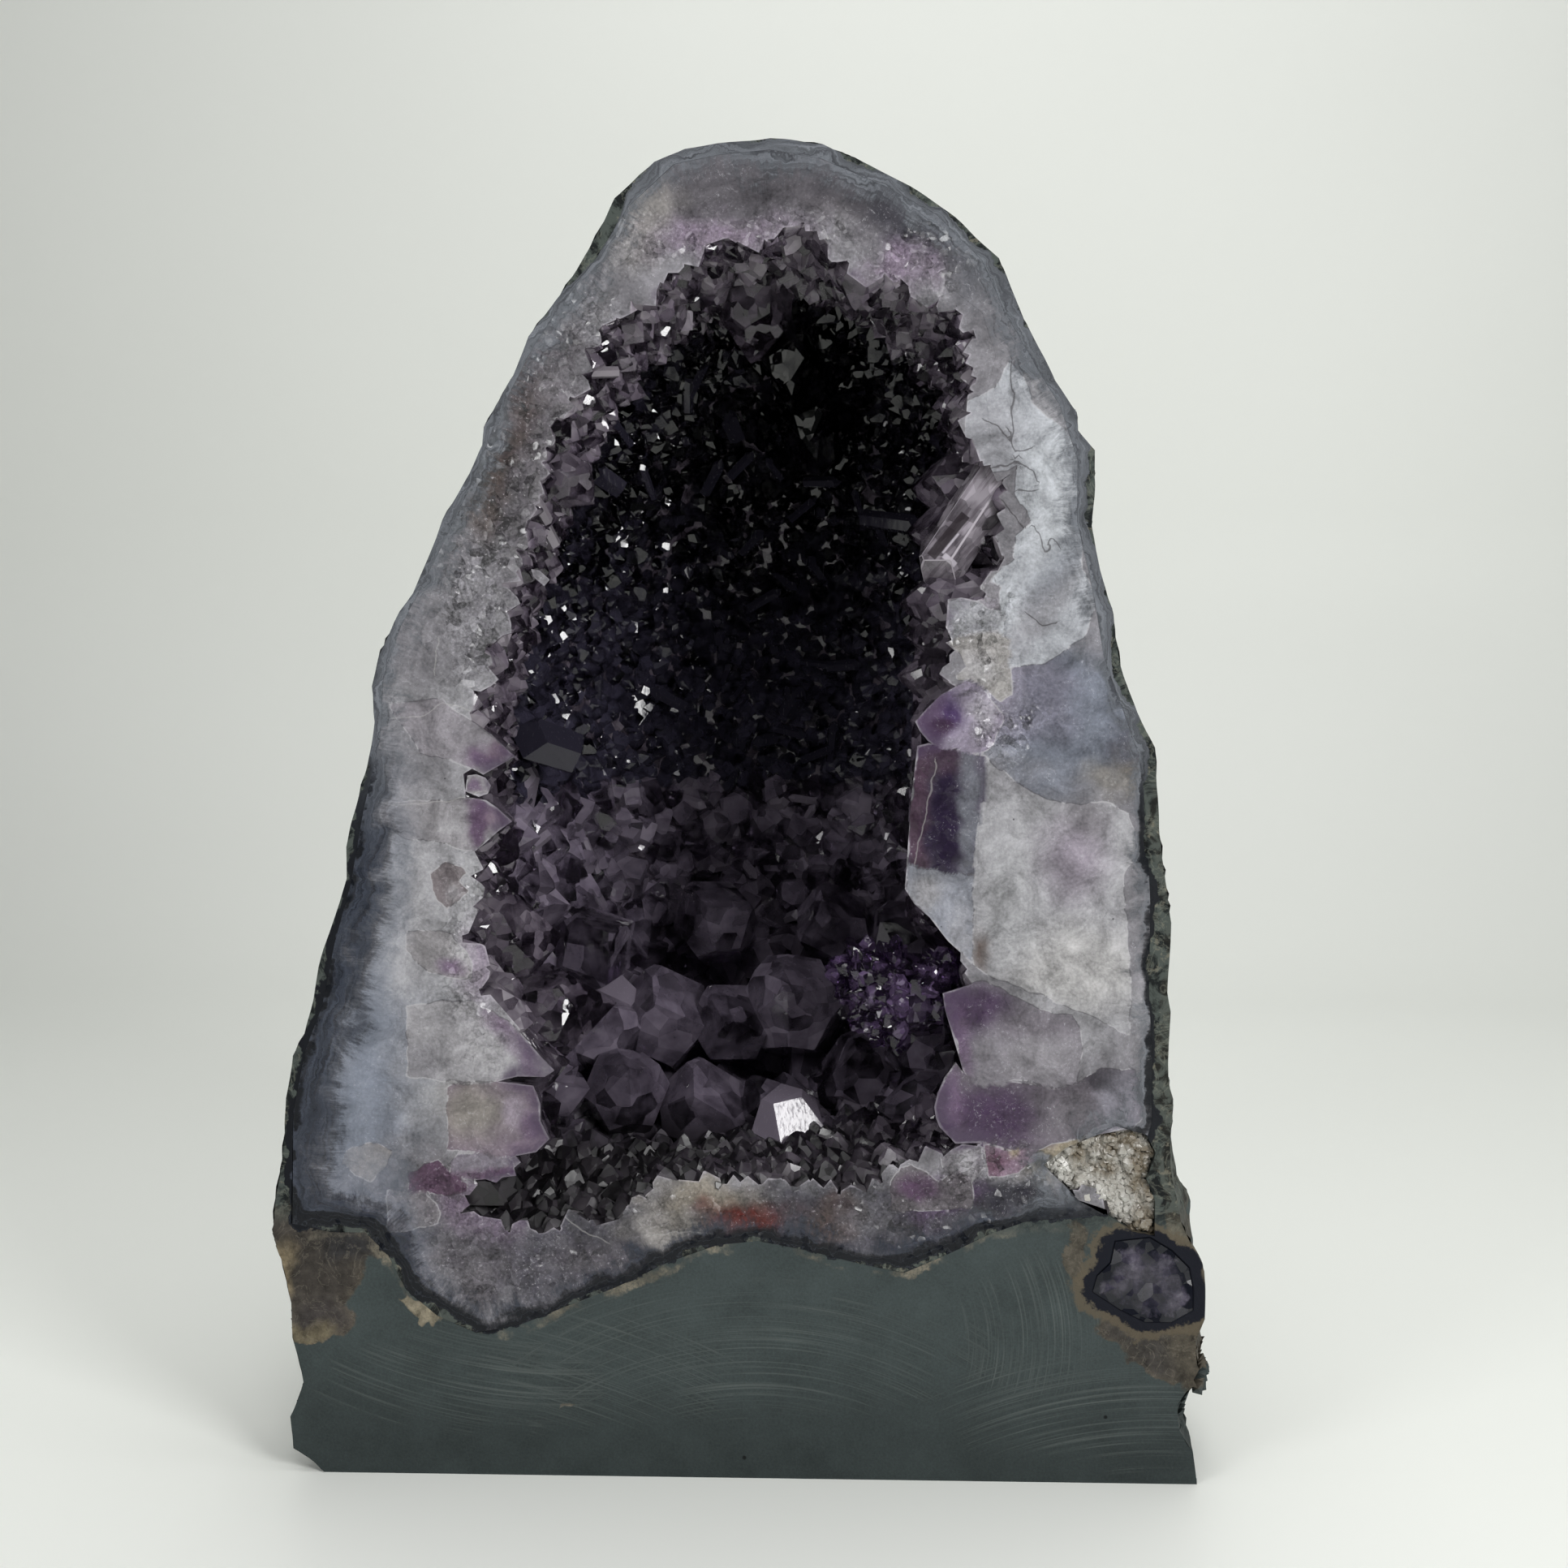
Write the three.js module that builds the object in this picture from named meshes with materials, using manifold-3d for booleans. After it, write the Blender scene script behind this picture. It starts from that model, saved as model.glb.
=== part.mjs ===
// Amethyst cathedral geode: a tall half geode, sawn flat in front and underneath, in millimetres.
// X runs to the right across the sawn face, Y runs back into the rock and Z is up. The origin is the
// middle of the flat base. A rough basalt rind with a thick foot holds a band of agate and milky
// quartz, and amethyst points line the hollow inside that band.
import * as THREE from "three";
import Module from "manifold-3d";
import { ParametricGeometry } from "three/addons/geometries/ParametricGeometry.js";
import { ImprovedNoise } from "three/addons/math/ImprovedNoise.js";
import { mergeVertices } from "three/addons/utils/BufferGeometryUtils.js";

// Driving dimensions. LINING is the amethyst's thickness between its points, GAP keeps neighbouring
// pieces apart, and cutting solids reach CUT_PAST in front of the sawn face.
const HEIGHT = 300;
const DEPTH = 150;
const FACE_Y = -DEPTH / 2;
const RIND_AT_BACK = 17;
const QUARTZ_AT_BACK = 15;
const LINING = 3;
const GAP = 0.4;
const CUT_PAST = 6;

// Each outline is read off the sawn face as [x, z] points, going up the left side, over the top and
// down the right side. An arc closes the rind's below the base, where the base plane cuts it off.
const RIND_ARC = { middle: 4, halfWidth: 100, depth: 62, steps: 14 };
const RIND_SIDES = [
  [-96, 0], [-104, 5], [-105, 13], [-103, 21], [-105, 31], [-105, 39], [-108, 50], [-109, 56],
  [-108, 64], [-104, 79], [-104, 87], [-102, 97], [-99, 102], [-96, 117], [-92, 128], [-89, 137],
  [-89, 144], [-86, 156], [-84, 162], [-82, 172], [-83, 180], [-81, 187], [-76, 197], [-73, 201],
  [-66, 217], [-60, 227], [-57, 233], [-57, 237], [-50, 248], [-47, 257], [-40, 266], [-34, 277],
  [-28, 287], [-19, 295], [-12, 298], [-2, 299], [7, HEIGHT], [19, 299], [29, 294], [38, 289],
  [51, 280], [58, 274], [63, 260], [70, 247], [75, 240], [75, 236], [79, 232], [79, 215],
  [84, 197], [84, 191], [89, 175], [93, 167], [94, 149], [98, 128], [98, 92], [99, 75],
  [101, 61], [105, 51], [106, 38], [105, 33], [106, 26], [105, 21], [101, 17], [101, 13],
  [104, 8], [104, 0],
];
const CONTACT_OUTLINE = [
  [-102, 58], [-101, 84], [-98, 98], [-94, 108], [-91, 122], [-87, 136], [-84, 152], [-80, 168],
  [-79, 182], [-75, 193], [-67, 208], [-59, 224], [-53, 239], [-45, 254], [-38, 264], [-31, 273],
  [-24, 284], [-14, 293], [-4, 295], [7, 296], [18, 294], [32, 288], [43, 282], [53, 272],
  [58, 261], [65, 249], [70, 241], [74, 229], [74, 216], [78, 199], [80, 187], [84, 176],
  [88, 165], [90, 150], [91, 132], [91, 112], [92, 96], [92, 83], [89, 72], [82, 62],
  [73, 61], [64, 60], [56, 57], [46, 52], [37, 48], [27, 50], [15, 53], [4, 55],
  [-5, 54], [-16, 50], [-28, 44], [-38, 40], [-50, 35], [-60, 33], [-69, 37], [-76, 43],
  [-80, 51], [-85, 56], [-93, 56],
];
const HOLLOW_OUTLINE = [
  [-68, 61], [-62, 73], [-59, 85], [-60, 98], [-61, 110], [-65, 122], [-66, 134], [-64, 146],
  [-64, 156], [-65, 166], [-64, 176], [-60, 186], [-57, 195], [-55, 204], [-50, 215], [-47, 226],
  [-44, 238], [-38, 247], [-36, 256], [-29, 264], [-21, 271], [-13, 277], [-4, 280], [8, 282],
  [17, 284], [25, 276], [35, 273], [44, 268], [53, 261], [56, 252], [54, 243], [55, 233],
  [62, 228], [63, 217], [61, 207], [57, 199], [53, 190], [51, 182], [53, 172], [53, 162],
  [53, 148], [53, 134], [52, 120], [58, 113], [62, 104], [64, 94], [68, 87], [68, 80],
  [60, 74], [51, 71], [42, 70], [35, 67], [27, 62], [17, 64], [8, 65], [-3, 65],
  [-13, 66], [-20, 62], [-26, 57], [-36, 54], [-48, 53], [-59, 54],
];
const POCKET_OUTLINE = [
  [79, 44], [80, 48], [83, 51], [84, 56], [92, 57], [97, 54], [101, 50], [102, 45],
  [102, 40], [97, 37], [91, 37], [85, 40],
];
const DRUSE_OUTLINE = [
  [68, 73], [73, 77], [80, 80], [84, 82], [91, 80], [93, 76], [91, 70], [93, 65], [93, 57],
  [88, 58], [82, 62], [76, 65],
];

// Every wall curves back from its outline on the sawn face and closes along an upright spine, whose
// ends lean towards the face by bow, a share of the depth. The spine's knots are where the wall's
// two sides meet.
const RIND_SPINE = { low: 20, high: 228, knots: 14, bow: 0.24 };
const HOLLOW_SPINE = { low: 78, high: 240, knots: 11, bow: 0.28 };
const POCKET_SPINE = { low: 47, high: 47, knots: 1, bow: 0 };
const POCKET_MIDDLE = 92;
const POCKET_DEPTH = 12;
const WALL_POWER = 2.4;
const WALL_HALF_WIDTH = 60;
const SECTION_STEPS = 12;
const RIND_ROWS = 8;
const WALL_ROWS = 6;
const POCKET_ROWS = 3;

// Rough rock: long swells, then lumps a few centimetres across. ROUGH_LIFT keeps the hollows between
// them shallow, and the roughness grows from nothing at the face to its full height by ROUGH_BY, a
// share of the depth. The outline's own scallops die out by the depth that CALMING gives.
const SWELL = { size: 58, height: 7 };
const LUMP = { size: 19, height: 4.5 };
const ROUGH_LIFT = 0.12;
const ROUGH_BY = 0.125;
const CALMING = { rounds: 14, by: 0.4 };
const SHOULDER_LUMP = { x: -42, y: FACE_Y + 17, z: 280, reach: 19, height: 7 };

const noise = new ImprovedNoise();

// A repeatable number from 0 to 1 for a whole number.
function scatter(index, channel) {
  const wave = Math.sin(index * 12.9898 + channel * 78.233) * 43758.5453;
  return wave - Math.floor(wave);
}

// How far the rough rock stands out from its smooth form at a point.
function roughness(x, y, z) {
  const wave = (size, shift) => noise.noise(x / size + shift, y / size, z / size) + ROUGH_LIFT;
  const { reach, height } = SHOULDER_LUMP;
  const away = Math.hypot(x - SHOULDER_LUMP.x, y - SHOULDER_LUMP.y, z - SHOULDER_LUMP.z);
  const shoulder = height * Math.exp(-((away / reach) ** 2));
  return SWELL.height * wave(SWELL.size, 0) + LUMP.height * wave(LUMP.size, 7) + shoulder;
}

// The rind's sides, closed by the arc below the base.
function rindOutline() {
  const { middle, halfWidth, depth, steps } = RIND_ARC;
  const arc = Array.from({ length: steps - 1 }, (_, i) => {
    const turn = (Math.PI * (i + 1)) / steps;
    return [middle + halfWidth * Math.cos(turn), -depth * Math.sin(turn)];
  });
  return [...RIND_SIDES, ...arc];
}

// An outline with its scallops averaged away.
function calmed(outline) {
  let points = outline;
  for (let round = 0; round < CALMING.rounds; round++) {
    points = points.map((point, i) => {
      const before = points.at(i - 1);
      const after = points[(i + 1) % points.length];
      return [0, 1].map((axis) => (before[axis] + point[axis] + after[axis]) / 3);
    });
  }
  return points;
}

// A wall: its outline as a closed curve, the calmed outline, and its section from the sawn face
// back to the spine, which gives the depth and the half width that is left there.
function wall(outline, depth, spine, middle = 0, rough = false) {
  const loop = (points) =>
    new THREE.CatmullRomCurve3(points.map(([x, z]) => new THREE.Vector3(x, 0, z)), true);
  const halfWidth = Math.min(WALL_HALF_WIDTH, depth);
  const calm = calmed(outline);
  const heights = calm.map(([, z]) => z);
  const bulge = (share) => Math.max(share, 0) ** (2 / WALL_POWER);
  const quarter = Array.from({ length: SECTION_STEPS + 1 }, (_, i) => {
    const turn = (Math.PI / 2) * (i / SECTION_STEPS);
    return new THREE.Vector2(depth * bulge(Math.sin(turn)), halfWidth * bulge(Math.cos(turn)));
  });
  return {
    outline: loop(outline),
    calm: loop(calm),
    section: new THREE.SplineCurve(quarter),
    sides: outline.length,
    lowest: Math.min(...heights),
    highest: Math.max(...heights),
    depth,
    halfWidth,
    spine,
    middle,
    rough,
  };
}

const rind = wall(rindOutline(), DEPTH, RIND_SPINE, 0, true);
const contact = wall(CONTACT_OUTLINE, DEPTH - RIND_AT_BACK, HOLLOW_SPINE);
const hollow = wall(HOLLOW_OUTLINE, contact.depth - QUARTZ_AT_BACK, HOLLOW_SPINE);
const pocket = wall(POCKET_OUTLINE, POCKET_DEPTH, POCKET_SPINE, POCKET_MIDDLE);

// A point on a wall's outline, moved towards the calmed outline by a share.
function edgePoint(shape, around, calming) {
  const turn = around - Math.floor(around);
  return shape.outline.getPoint(turn).lerp(shape.calm.getPoint(turn), calming);
}

// A point on a wall. around goes from 0 to 1 round the outline. along goes from 0 at the sawn face
// to 1 at the spine, and below 0 in front of the face. inset moves the point into the hollow.
function wallPoint(shape, around, along, inset = 0) {
  const reached = Math.min(Math.max(along, 0), 1);
  const { x: depth, y: halfWidth } = shape.section.getPointAt(reached);
  const spread = reached < 1 ? halfWidth / shape.halfWidth : 0;
  const share = depth / shape.depth;
  const calming = THREE.MathUtils.smoothstep(share, 0, CALMING.by);
  const edge = edgePoint(shape, around, calming);
  const { low, high, knots, bow } = shape.spine;
  const { z } = edgePoint(shape, around, 1);
  const rise = THREE.MathUtils.inverseLerp(shape.lowest, shape.highest, z);
  const climb = spread > 0 ? rise : Math.round(rise * (knots - 1)) / Math.max(knots - 1, 1);
  const foot = new THREE.Vector3(shape.middle, 0, low + (high - low) * climb);
  const point = foot.clone().addScaledVector(edge.sub(foot), spread);
  const bowed = depth * (1 - bow * share * (2 * climb - 1) ** 2);
  point.y = FACE_Y + bowed + Math.min(along, 0) * shape.section.getLength();
  const step = 0.5 / shape.sides;
  const run = edgePoint(shape, around + step, calming);
  run.sub(edgePoint(shape, around - step, calming)).normalize();
  const out = new THREE.Vector3(-run.z * spread, share ** 2, run.x * spread).normalize();
  const rough = shape.rough ? roughness(point.x, point.y, point.z) : 0;
  return point.addScaledVector(out, rough * Math.min(1, share / ROUGH_BY) - inset);
}

// The closed surface of a wall with a flat front. place gives each grid point from its column and
// row, where row 1 is the front's rim and the last row lies on the spine.
function closedSurface(shape, columns, rows, place) {
  const { low, high } = shape.spine;
  const surface = (u, v, target) => {
    const row = Math.round(v * (rows + 1));
    target.copy(place(Math.round(u * columns) % columns, Math.max(row, 1)));
    if (row === 0) target.setX(shape.middle).setZ((low + high) / 2);
  };
  return new ParametricGeometry(surface, columns, rows + 1);
}

const wasm = await Module();
wasm.setup();

// A closed three.js geometry as a solid, with its collapsed triangles left out.
function solidOf(geometry) {
  const bare = geometry.clone();
  bare.deleteAttribute("normal");
  bare.deleteAttribute("uv");
  const merged = mergeVertices(bare, 1e-3);
  const corners = [];
  for (let i = 0; i < merged.index.count; i += 3) {
    const [a, b, c] = [0, 1, 2].map((k) => merged.index.getX(i + k));
    if (a !== b && b !== c && c !== a) corners.push(a, b, c);
  }
  const vertProperties = new Float32Array(merged.attributes.position.array);
  const build = (triVerts) =>
    new wasm.Manifold(new wasm.Mesh({ numProp: 3, vertProperties, triVerts }));
  const solid = build(new Uint32Array(corners));
  return solid.volume() > 0 ? solid : build(new Uint32Array(corners.reverse()));
}

// The triangles of a mesh's main body, without sealed cavities inside it or crumbs beside it.
function mainBody(triVerts, vertexCount) {
  const parent = Uint32Array.from({ length: vertexCount }, (_, i) => i);
  const rootOf = (vertex) => {
    let root = vertex;
    while (parent[root] !== root) root = parent[root];
    return root;
  };
  for (let i = 0; i < triVerts.length; i += 3) {
    parent[rootOf(triVerts[i + 1])] = rootOf(triVerts[i]);
    parent[rootOf(triVerts[i + 2])] = rootOf(triVerts[i]);
  }
  const bodies = new Map();
  for (let i = 0; i < triVerts.length; i += 3) {
    const root = rootOf(triVerts[i]);
    if (!bodies.has(root)) bodies.set(root, []);
    bodies.get(root).push(...triVerts.subarray(i, i + 3));
  }
  const largest = [...bodies.values()].reduce((a, b) => (b.length > a.length ? b : a));
  return new Uint32Array(largest);
}

// A solid's main body as a flat-shaded three.js geometry.
function geometryOf(solid) {
  const mesh = solid.getMesh();
  const positions = new Float32Array(mesh.numVert * 3);
  for (let i = 0; i < mesh.numVert; i++) {
    const from = i * mesh.numProp;
    positions.set(mesh.vertProperties.subarray(from, from + 3), i * 3);
  }
  const indexed = new THREE.BufferGeometry();
  indexed.setAttribute("position", new THREE.BufferAttribute(positions, 3));
  indexed.setIndex(new THREE.BufferAttribute(mainBody(mesh.triVerts, mesh.numVert), 1));
  const flat = indexed.toNonIndexed();
  flat.computeVertexNormals();
  return flat;
}

// The solid inside a wall, drawn in by an inset, its front on the sawn face or past it.
function fillOf(shape, rows, inset, pastFace) {
  const stops = Array.from({ length: rows + 1 }, (_, i) => i / rows);
  if (pastFace) stops.unshift(-CUT_PAST / shape.section.getLength());
  const place = (column, row) =>
    wallPoint(shape, column / shape.sides, stops[row - 1], inset);
  return solidOf(closedSurface(shape, shape.sides, stops.length - 1, place));
}

// The rock, cut flat underneath, with the quartz-lined hollow and the small holes taken out.
function basaltRind() {
  const size = DEPTH * 2;
  const below = new THREE.BoxGeometry(size, size, size).translate(0, 0, -size / 2);
  return fillOf(rind, RIND_ROWS, 0, false)
    .subtract(solidOf(below))
    .subtract(fillOf(contact, WALL_ROWS, 0, true))
    .subtract(fillOf(pocket, POCKET_ROWS, 0, true))
    .subtract(druseBlock(DRUSE_DEPTH, 0));
}

// The band of agate and milky quartz between the rock and the amethyst.
function agateBand() {
  return fillOf(contact, WALL_ROWS, GAP, false)
    .subtract(fillOf(hollow, WALL_ROWS, 0, true))
    .subtract(druseBlock(DRUSE_DEPTH, 0));
}

// The large points that stand out in the hollow. foot and tip are [x, depth behind the sawn face, z],
// and the face cuts those whose radius reaches past it.
const LARGE_POINTS = [
  { foot: [-66, 3, 157], tip: [-48, 3, 156], radius: 8 },
  { foot: [-64, 3, 138], tip: [-49, 2, 142], radius: 7 },
  { foot: [-70, 6, 93], tip: [-41, 4, 88], radius: 15 },
  { foot: [-64, 8, 78], tip: [-42, 6, 71], radius: 9 },
  { foot: [-62, 18, 118], tip: [-42, 22, 121], radius: 10 },
  { foot: [-56, 26, 96], tip: [-28, 30, 101], radius: 13 },
  { foot: [66, 12, 166], tip: [57, 10, 114], radius: 20 },
  { foot: [74, 6, 100], tip: [44, 5, 109], radius: 12 },
  { foot: [72, 10, 82], tip: [42, 9, 85], radius: 10 },
  { foot: [62, 7, 171], tip: [40, 6, 170], radius: 9 },
  { foot: [60, 14, 216], tip: [36, 13, 222], radius: 10 },
  { foot: [60, 12, 198], tip: [36, 11, 194], radius: 9 },
  { foot: [30, 6, 279], tip: [27, 5, 266], radius: 7 },
  { foot: [3, 30, 280], tip: [2, 32, 256], radius: 9 },
  { foot: [9, 58, 268], tip: [11, 50, 244], radius: 8 },
  { foot: [14, 80, 252], tip: [16, 68, 232], radius: 9 },
  { foot: [-12, 84, 84], tip: [-16, 54, 104], radius: 17 },
  { foot: [14, 88, 86], tip: [9, 58, 108], radius: 18 },
  { foot: [28, 64, 70], tip: [21, 48, 88], radius: 11 },
  { foot: [44, 60, 84], tip: [33, 46, 97], radius: 12 },
  { foot: [-36, 74, 84], tip: [-30, 54, 104], radius: 14 },
];

// A six-sided quartz point: its foot below the origin, then its prism, which widens a little, and its
// tip along +Y. Heights and widths are shares of the radius. lean moves the tip sideways, so that
// its faces differ.
const POINT = { tip: 1.2, foot: 0.5, footWidth: 0.85, lean: 0.6, shortestPrism: 0.2 };

function pointGeometry(radius, length, lean) {
  const tip = Math.min(radius * POINT.tip, length * (1 - POINT.shortestPrism));
  const profile = [
    [0, -radius * POINT.foot],
    [radius * POINT.footWidth, -radius * POINT.foot],
    [radius, length - tip],
    [0, length],
  ];
  const rings = profile.map(([r, y]) => new THREE.Vector2(r, y));
  const geometry = new THREE.LatheGeometry(rings, 6);
  const positions = geometry.attributes.position;
  for (let i = 0; i < positions.count; i++) {
    if (positions.getY(i) > length - tip / 2) {
      positions.setX(i, positions.getX(i) + lean[0] * radius);
      positions.setZ(i, positions.getZ(i) + lean[1] * radius);
    }
  }
  return geometry;
}

// One of the large points as a solid, turned about its own length so that no two look alike.
function largePoint({ foot, tip, radius }, seed) {
  const start = new THREE.Vector3(foot[0], FACE_Y + foot[1], foot[2]);
  const along = new THREE.Vector3(tip[0], FACE_Y + tip[1], tip[2]).sub(start);
  const lean = [6, 7].map((channel) => (scatter(seed, channel) - 0.5) * POINT.lean);
  const geometry = pointGeometry(radius, along.length(), lean);
  const turn = new THREE.Quaternion().setFromUnitVectors(
    new THREE.Vector3(0, 1, 0),
    along.normalize(),
  );
  geometry.rotateY(scatter(seed, 8) * Math.PI).applyQuaternion(turn);
  return solidOf(geometry.translate(start.x, start.y, start.z));
}

// The field of smaller points: a grid of triangles over the wall, in which every third corner is a
// tip with six faces falling from it. The columns are a multiple of three, and before is how many
// rows lie in front of the sawn face. Tips are tallest near the floor of the hollow.
const FIELD = {
  columns: 63,
  rows: 17,
  before: 1,
  shortest: 5,
  tallest: 9,
  tallBelow: 80,
  shortAbove: 230,
  jitter: 0.3,
};

function fieldPlace(column, row) {
  const { columns, rows, before, jitter } = FIELD;
  const seed = row * columns + column;
  const isEnd = row === 1 || row === rows + 1;
  const shift = (channel) => (isEnd ? 0 : (scatter(seed, channel) - 0.5) * jitter);
  const around = (column + row / 2 + shift(1)) / columns;
  const along = isEnd && row > 1 ? 1 : (row - 1 - before + shift(2)) / (rows - before);
  const isTip = !isEnd && (row - column + columns) % 3 === 0;
  if (!isTip) return wallPoint(hollow, around, along, LINING);
  const { z } = wallPoint(hollow, around, along);
  const rise = THREE.MathUtils.smoothstep(z, FIELD.tallBelow, FIELD.shortAbove);
  const height = THREE.MathUtils.lerp(FIELD.tallest, FIELD.shortest, rise);
  return wallPoint(hollow, around, along, LINING + height * (0.7 + 0.6 * scatter(seed, 3)));
}

// The amethyst lining: what lies between the hollow's wall and the field of points, joined with the
// large points, and cut to the wall and to the sawn face.
function amethystCrust() {
  const inside = fillOf(hollow, WALL_ROWS, GAP, false);
  const air = solidOf(closedSurface(hollow, FIELD.columns, FIELD.rows, fieldPlace));
  const points = wasm.Manifold.union(LARGE_POINTS.map(largePoint));
  return inside.subtract(air).add(points.intersect(inside));
}

// Quartz in the small pocket at the lower right, sawn flush with the face.
function pocketQuartz() {
  return fillOf(pocket, POCKET_ROWS, GAP, false);
}

// Sugary quartz in a shallow hole at the lower right, its grains just below the sawn face.
const DRUSE_MIDDLE = new THREE.Vector2(82, 69);
const DRUSE_DEPTH = 4;
const DRUSE_BED = 2.4;
const DRUSE_REACH = 15;
const DRUSE_GRAIN = { spacing: 5, radius: 3.4, height: 2, tilt: 0.25 };

// The druse's outline drawn in by an inset and filled from behind the face to past it.
function druseBlock(depth, inset) {
  const corners = DRUSE_OUTLINE.map(([x, z]) => {
    const corner = new THREE.Vector2(x, z);
    return corner.lerp(DRUSE_MIDDLE, inset / corner.distanceTo(DRUSE_MIDDLE));
  });
  const length = depth - inset + CUT_PAST;
  const block = new THREE.ExtrudeGeometry(new THREE.Shape(corners), {
    depth: length,
    bevelEnabled: false,
  });
  return solidOf(block.rotateX(Math.PI / 2).translate(0, FACE_Y + depth - inset, 0));
}

function drusyPatch() {
  const { spacing, radius, height, tilt } = DRUSE_GRAIN;
  const bedY = FACE_Y + DRUSE_BED;
  const { x: middleX, y: middleZ } = DRUSE_MIDDLE;
  const bed = new THREE.BoxGeometry(DRUSE_REACH * 4, DRUSE_DEPTH, DRUSE_REACH * 4);
  bed.translate(middleX, bedY + DRUSE_DEPTH / 2, middleZ);
  const grains = [];
  for (let x = middleX - DRUSE_REACH; x < middleX + DRUSE_REACH; x += spacing) {
    for (let z = middleZ - DRUSE_REACH; z < middleZ + DRUSE_REACH; z += spacing) {
      const [turn, shiftX, shiftZ] = [1, 2, 3].map((k) => scatter(x * 31 + z, k) - 0.5);
      const grain = new THREE.ConeGeometry(radius, height * 2, 5).rotateX(Math.PI);
      grain.rotateY(turn * Math.PI).rotateZ(turn * tilt);
      grains.push(solidOf(grain.translate(x + shiftX * spacing, bedY, z + shiftZ * spacing)));
    }
  }
  return wasm.Manifold.union([solidOf(bed), ...grains]).intersect(druseBlock(DRUSE_DEPTH, GAP));
}

function piece(name, solid, colour, roughness) {
  const material = new THREE.MeshStandardMaterial({ color: colour, roughness, metalness: 0 });
  const mesh = new THREE.Mesh(geometryOf(solid), material);
  mesh.name = name;
  return mesh;
}

const geode = new THREE.Group();
geode.add(
  piece("basalt_rind", basaltRind(), 0x47504f, 0.85),
  piece("agate_band", agateBand(), 0x9a99a4, 0.3),
  piece("amethyst_crust", amethystCrust(), 0x4a3a5e, 0.12),
  piece("pocket_quartz", pocketQuartz(), 0x4a4a58, 0.35),
  piece("drusy_patch", drusyPatch(), 0xb3b0a6, 0.5),
);

export default geode;
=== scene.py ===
"""Amethyst cathedral geode: a tall half geode, sawn flat in front and underneath, on a pale floor.

Everything is in metres, with the sawn face at -Y and the flat base on Z = 0. Sizes that are read
as lengths on the stone are given in millimetres and turned into metres by MM.
"""
from __future__ import annotations

import logging
import math
from dataclasses import dataclass, field
from enum import Enum
import bpy
import numpy as np
from mathutils import Matrix, Vector, noise
from mathutils.bvhtree import BVHTree
from mathutils.kdtree import KDTree


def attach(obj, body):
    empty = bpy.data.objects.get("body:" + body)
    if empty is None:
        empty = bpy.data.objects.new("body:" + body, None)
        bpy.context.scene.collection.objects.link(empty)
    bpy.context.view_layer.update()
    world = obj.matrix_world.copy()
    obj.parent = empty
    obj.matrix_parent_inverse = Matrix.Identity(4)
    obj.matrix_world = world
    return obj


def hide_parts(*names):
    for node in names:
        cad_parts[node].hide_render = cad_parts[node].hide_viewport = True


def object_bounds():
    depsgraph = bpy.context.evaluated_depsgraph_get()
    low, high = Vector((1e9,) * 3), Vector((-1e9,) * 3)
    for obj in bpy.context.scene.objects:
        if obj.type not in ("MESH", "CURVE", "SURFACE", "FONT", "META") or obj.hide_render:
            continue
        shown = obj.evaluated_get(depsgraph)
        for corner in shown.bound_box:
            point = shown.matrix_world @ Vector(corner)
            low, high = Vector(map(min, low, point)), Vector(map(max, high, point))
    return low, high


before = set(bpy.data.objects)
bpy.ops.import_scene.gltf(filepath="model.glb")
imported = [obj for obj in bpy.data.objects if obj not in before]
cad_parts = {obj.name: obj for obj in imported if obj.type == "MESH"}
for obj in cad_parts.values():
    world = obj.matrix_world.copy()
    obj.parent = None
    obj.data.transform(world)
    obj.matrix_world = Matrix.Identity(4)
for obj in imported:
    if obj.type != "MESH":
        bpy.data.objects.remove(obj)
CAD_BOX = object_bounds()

LOG = logging.getLogger("geode")
CAMERA_PLACE = (26.23, -540.42, 194.98)
MM = 0.001
FACE_Y = -75.0
FACE_TOLERANCE = 0.02


@dataclass(frozen=True)
class Lamp:
    """A square soft light: its place, its target and its size in mm, and its power in watts."""

    place: tuple[float, float, float]
    target: tuple[float, float, float]
    size: float
    power: float


LAMPS = {
    "key": Lamp((640, -820, 560), (10, -60, 150), 330, 6.6),
    "left": Lamp((-560, -700, 520), (-10, -60, 150), 300, 1.8),
    "high": Lamp((60, -760, 860), (0, -60, 150), 260, 1.1),
    "top": Lamp((-60, -40, 1000), (0, 0, 150), 800, 2.4),
    "backdrop": Lamp((160, 120, 1150), (90, 470, 150), 900, 4.4),
}


def srgb(red: int, green: int, blue: int) -> tuple[float, float, float, float]:
    """A colour given from 0 to 255 as the eye sees it, in linear light."""
    linear = [
        c / 3294.6 if c <= 10 else ((c / 255 + 0.055) / 1.055) ** 2.4 for c in (red, green, blue)
    ]
    return (*linear, 1.0)


def deselect_all() -> None:
    """Leave edit mode and select nothing."""
    if bpy.context.object and bpy.context.object.mode != "OBJECT":
        bpy.ops.object.mode_set(mode="OBJECT")
    bpy.ops.object.select_all(action="DESELECT")


def make_active(piece: bpy.types.Object) -> None:
    """Select one piece alone and make it the active one."""
    deselect_all()
    piece.select_set(True)
    bpy.context.view_layer.objects.active = piece


def vertices_of(piece: bpy.types.Object) -> np.ndarray:
    """The piece's vertices as rows of x, y and z."""
    found = np.empty(len(piece.data.vertices) * 3)
    piece.data.vertices.foreach_get("co", found)
    return found.reshape(-1, 3)


def set_vertices(piece: bpy.types.Object, places: np.ndarray) -> None:
    """Move the piece's vertices to the given rows of x, y and z."""
    piece.data.vertices.foreach_set("co", places.ravel())
    piece.data.update()


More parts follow.
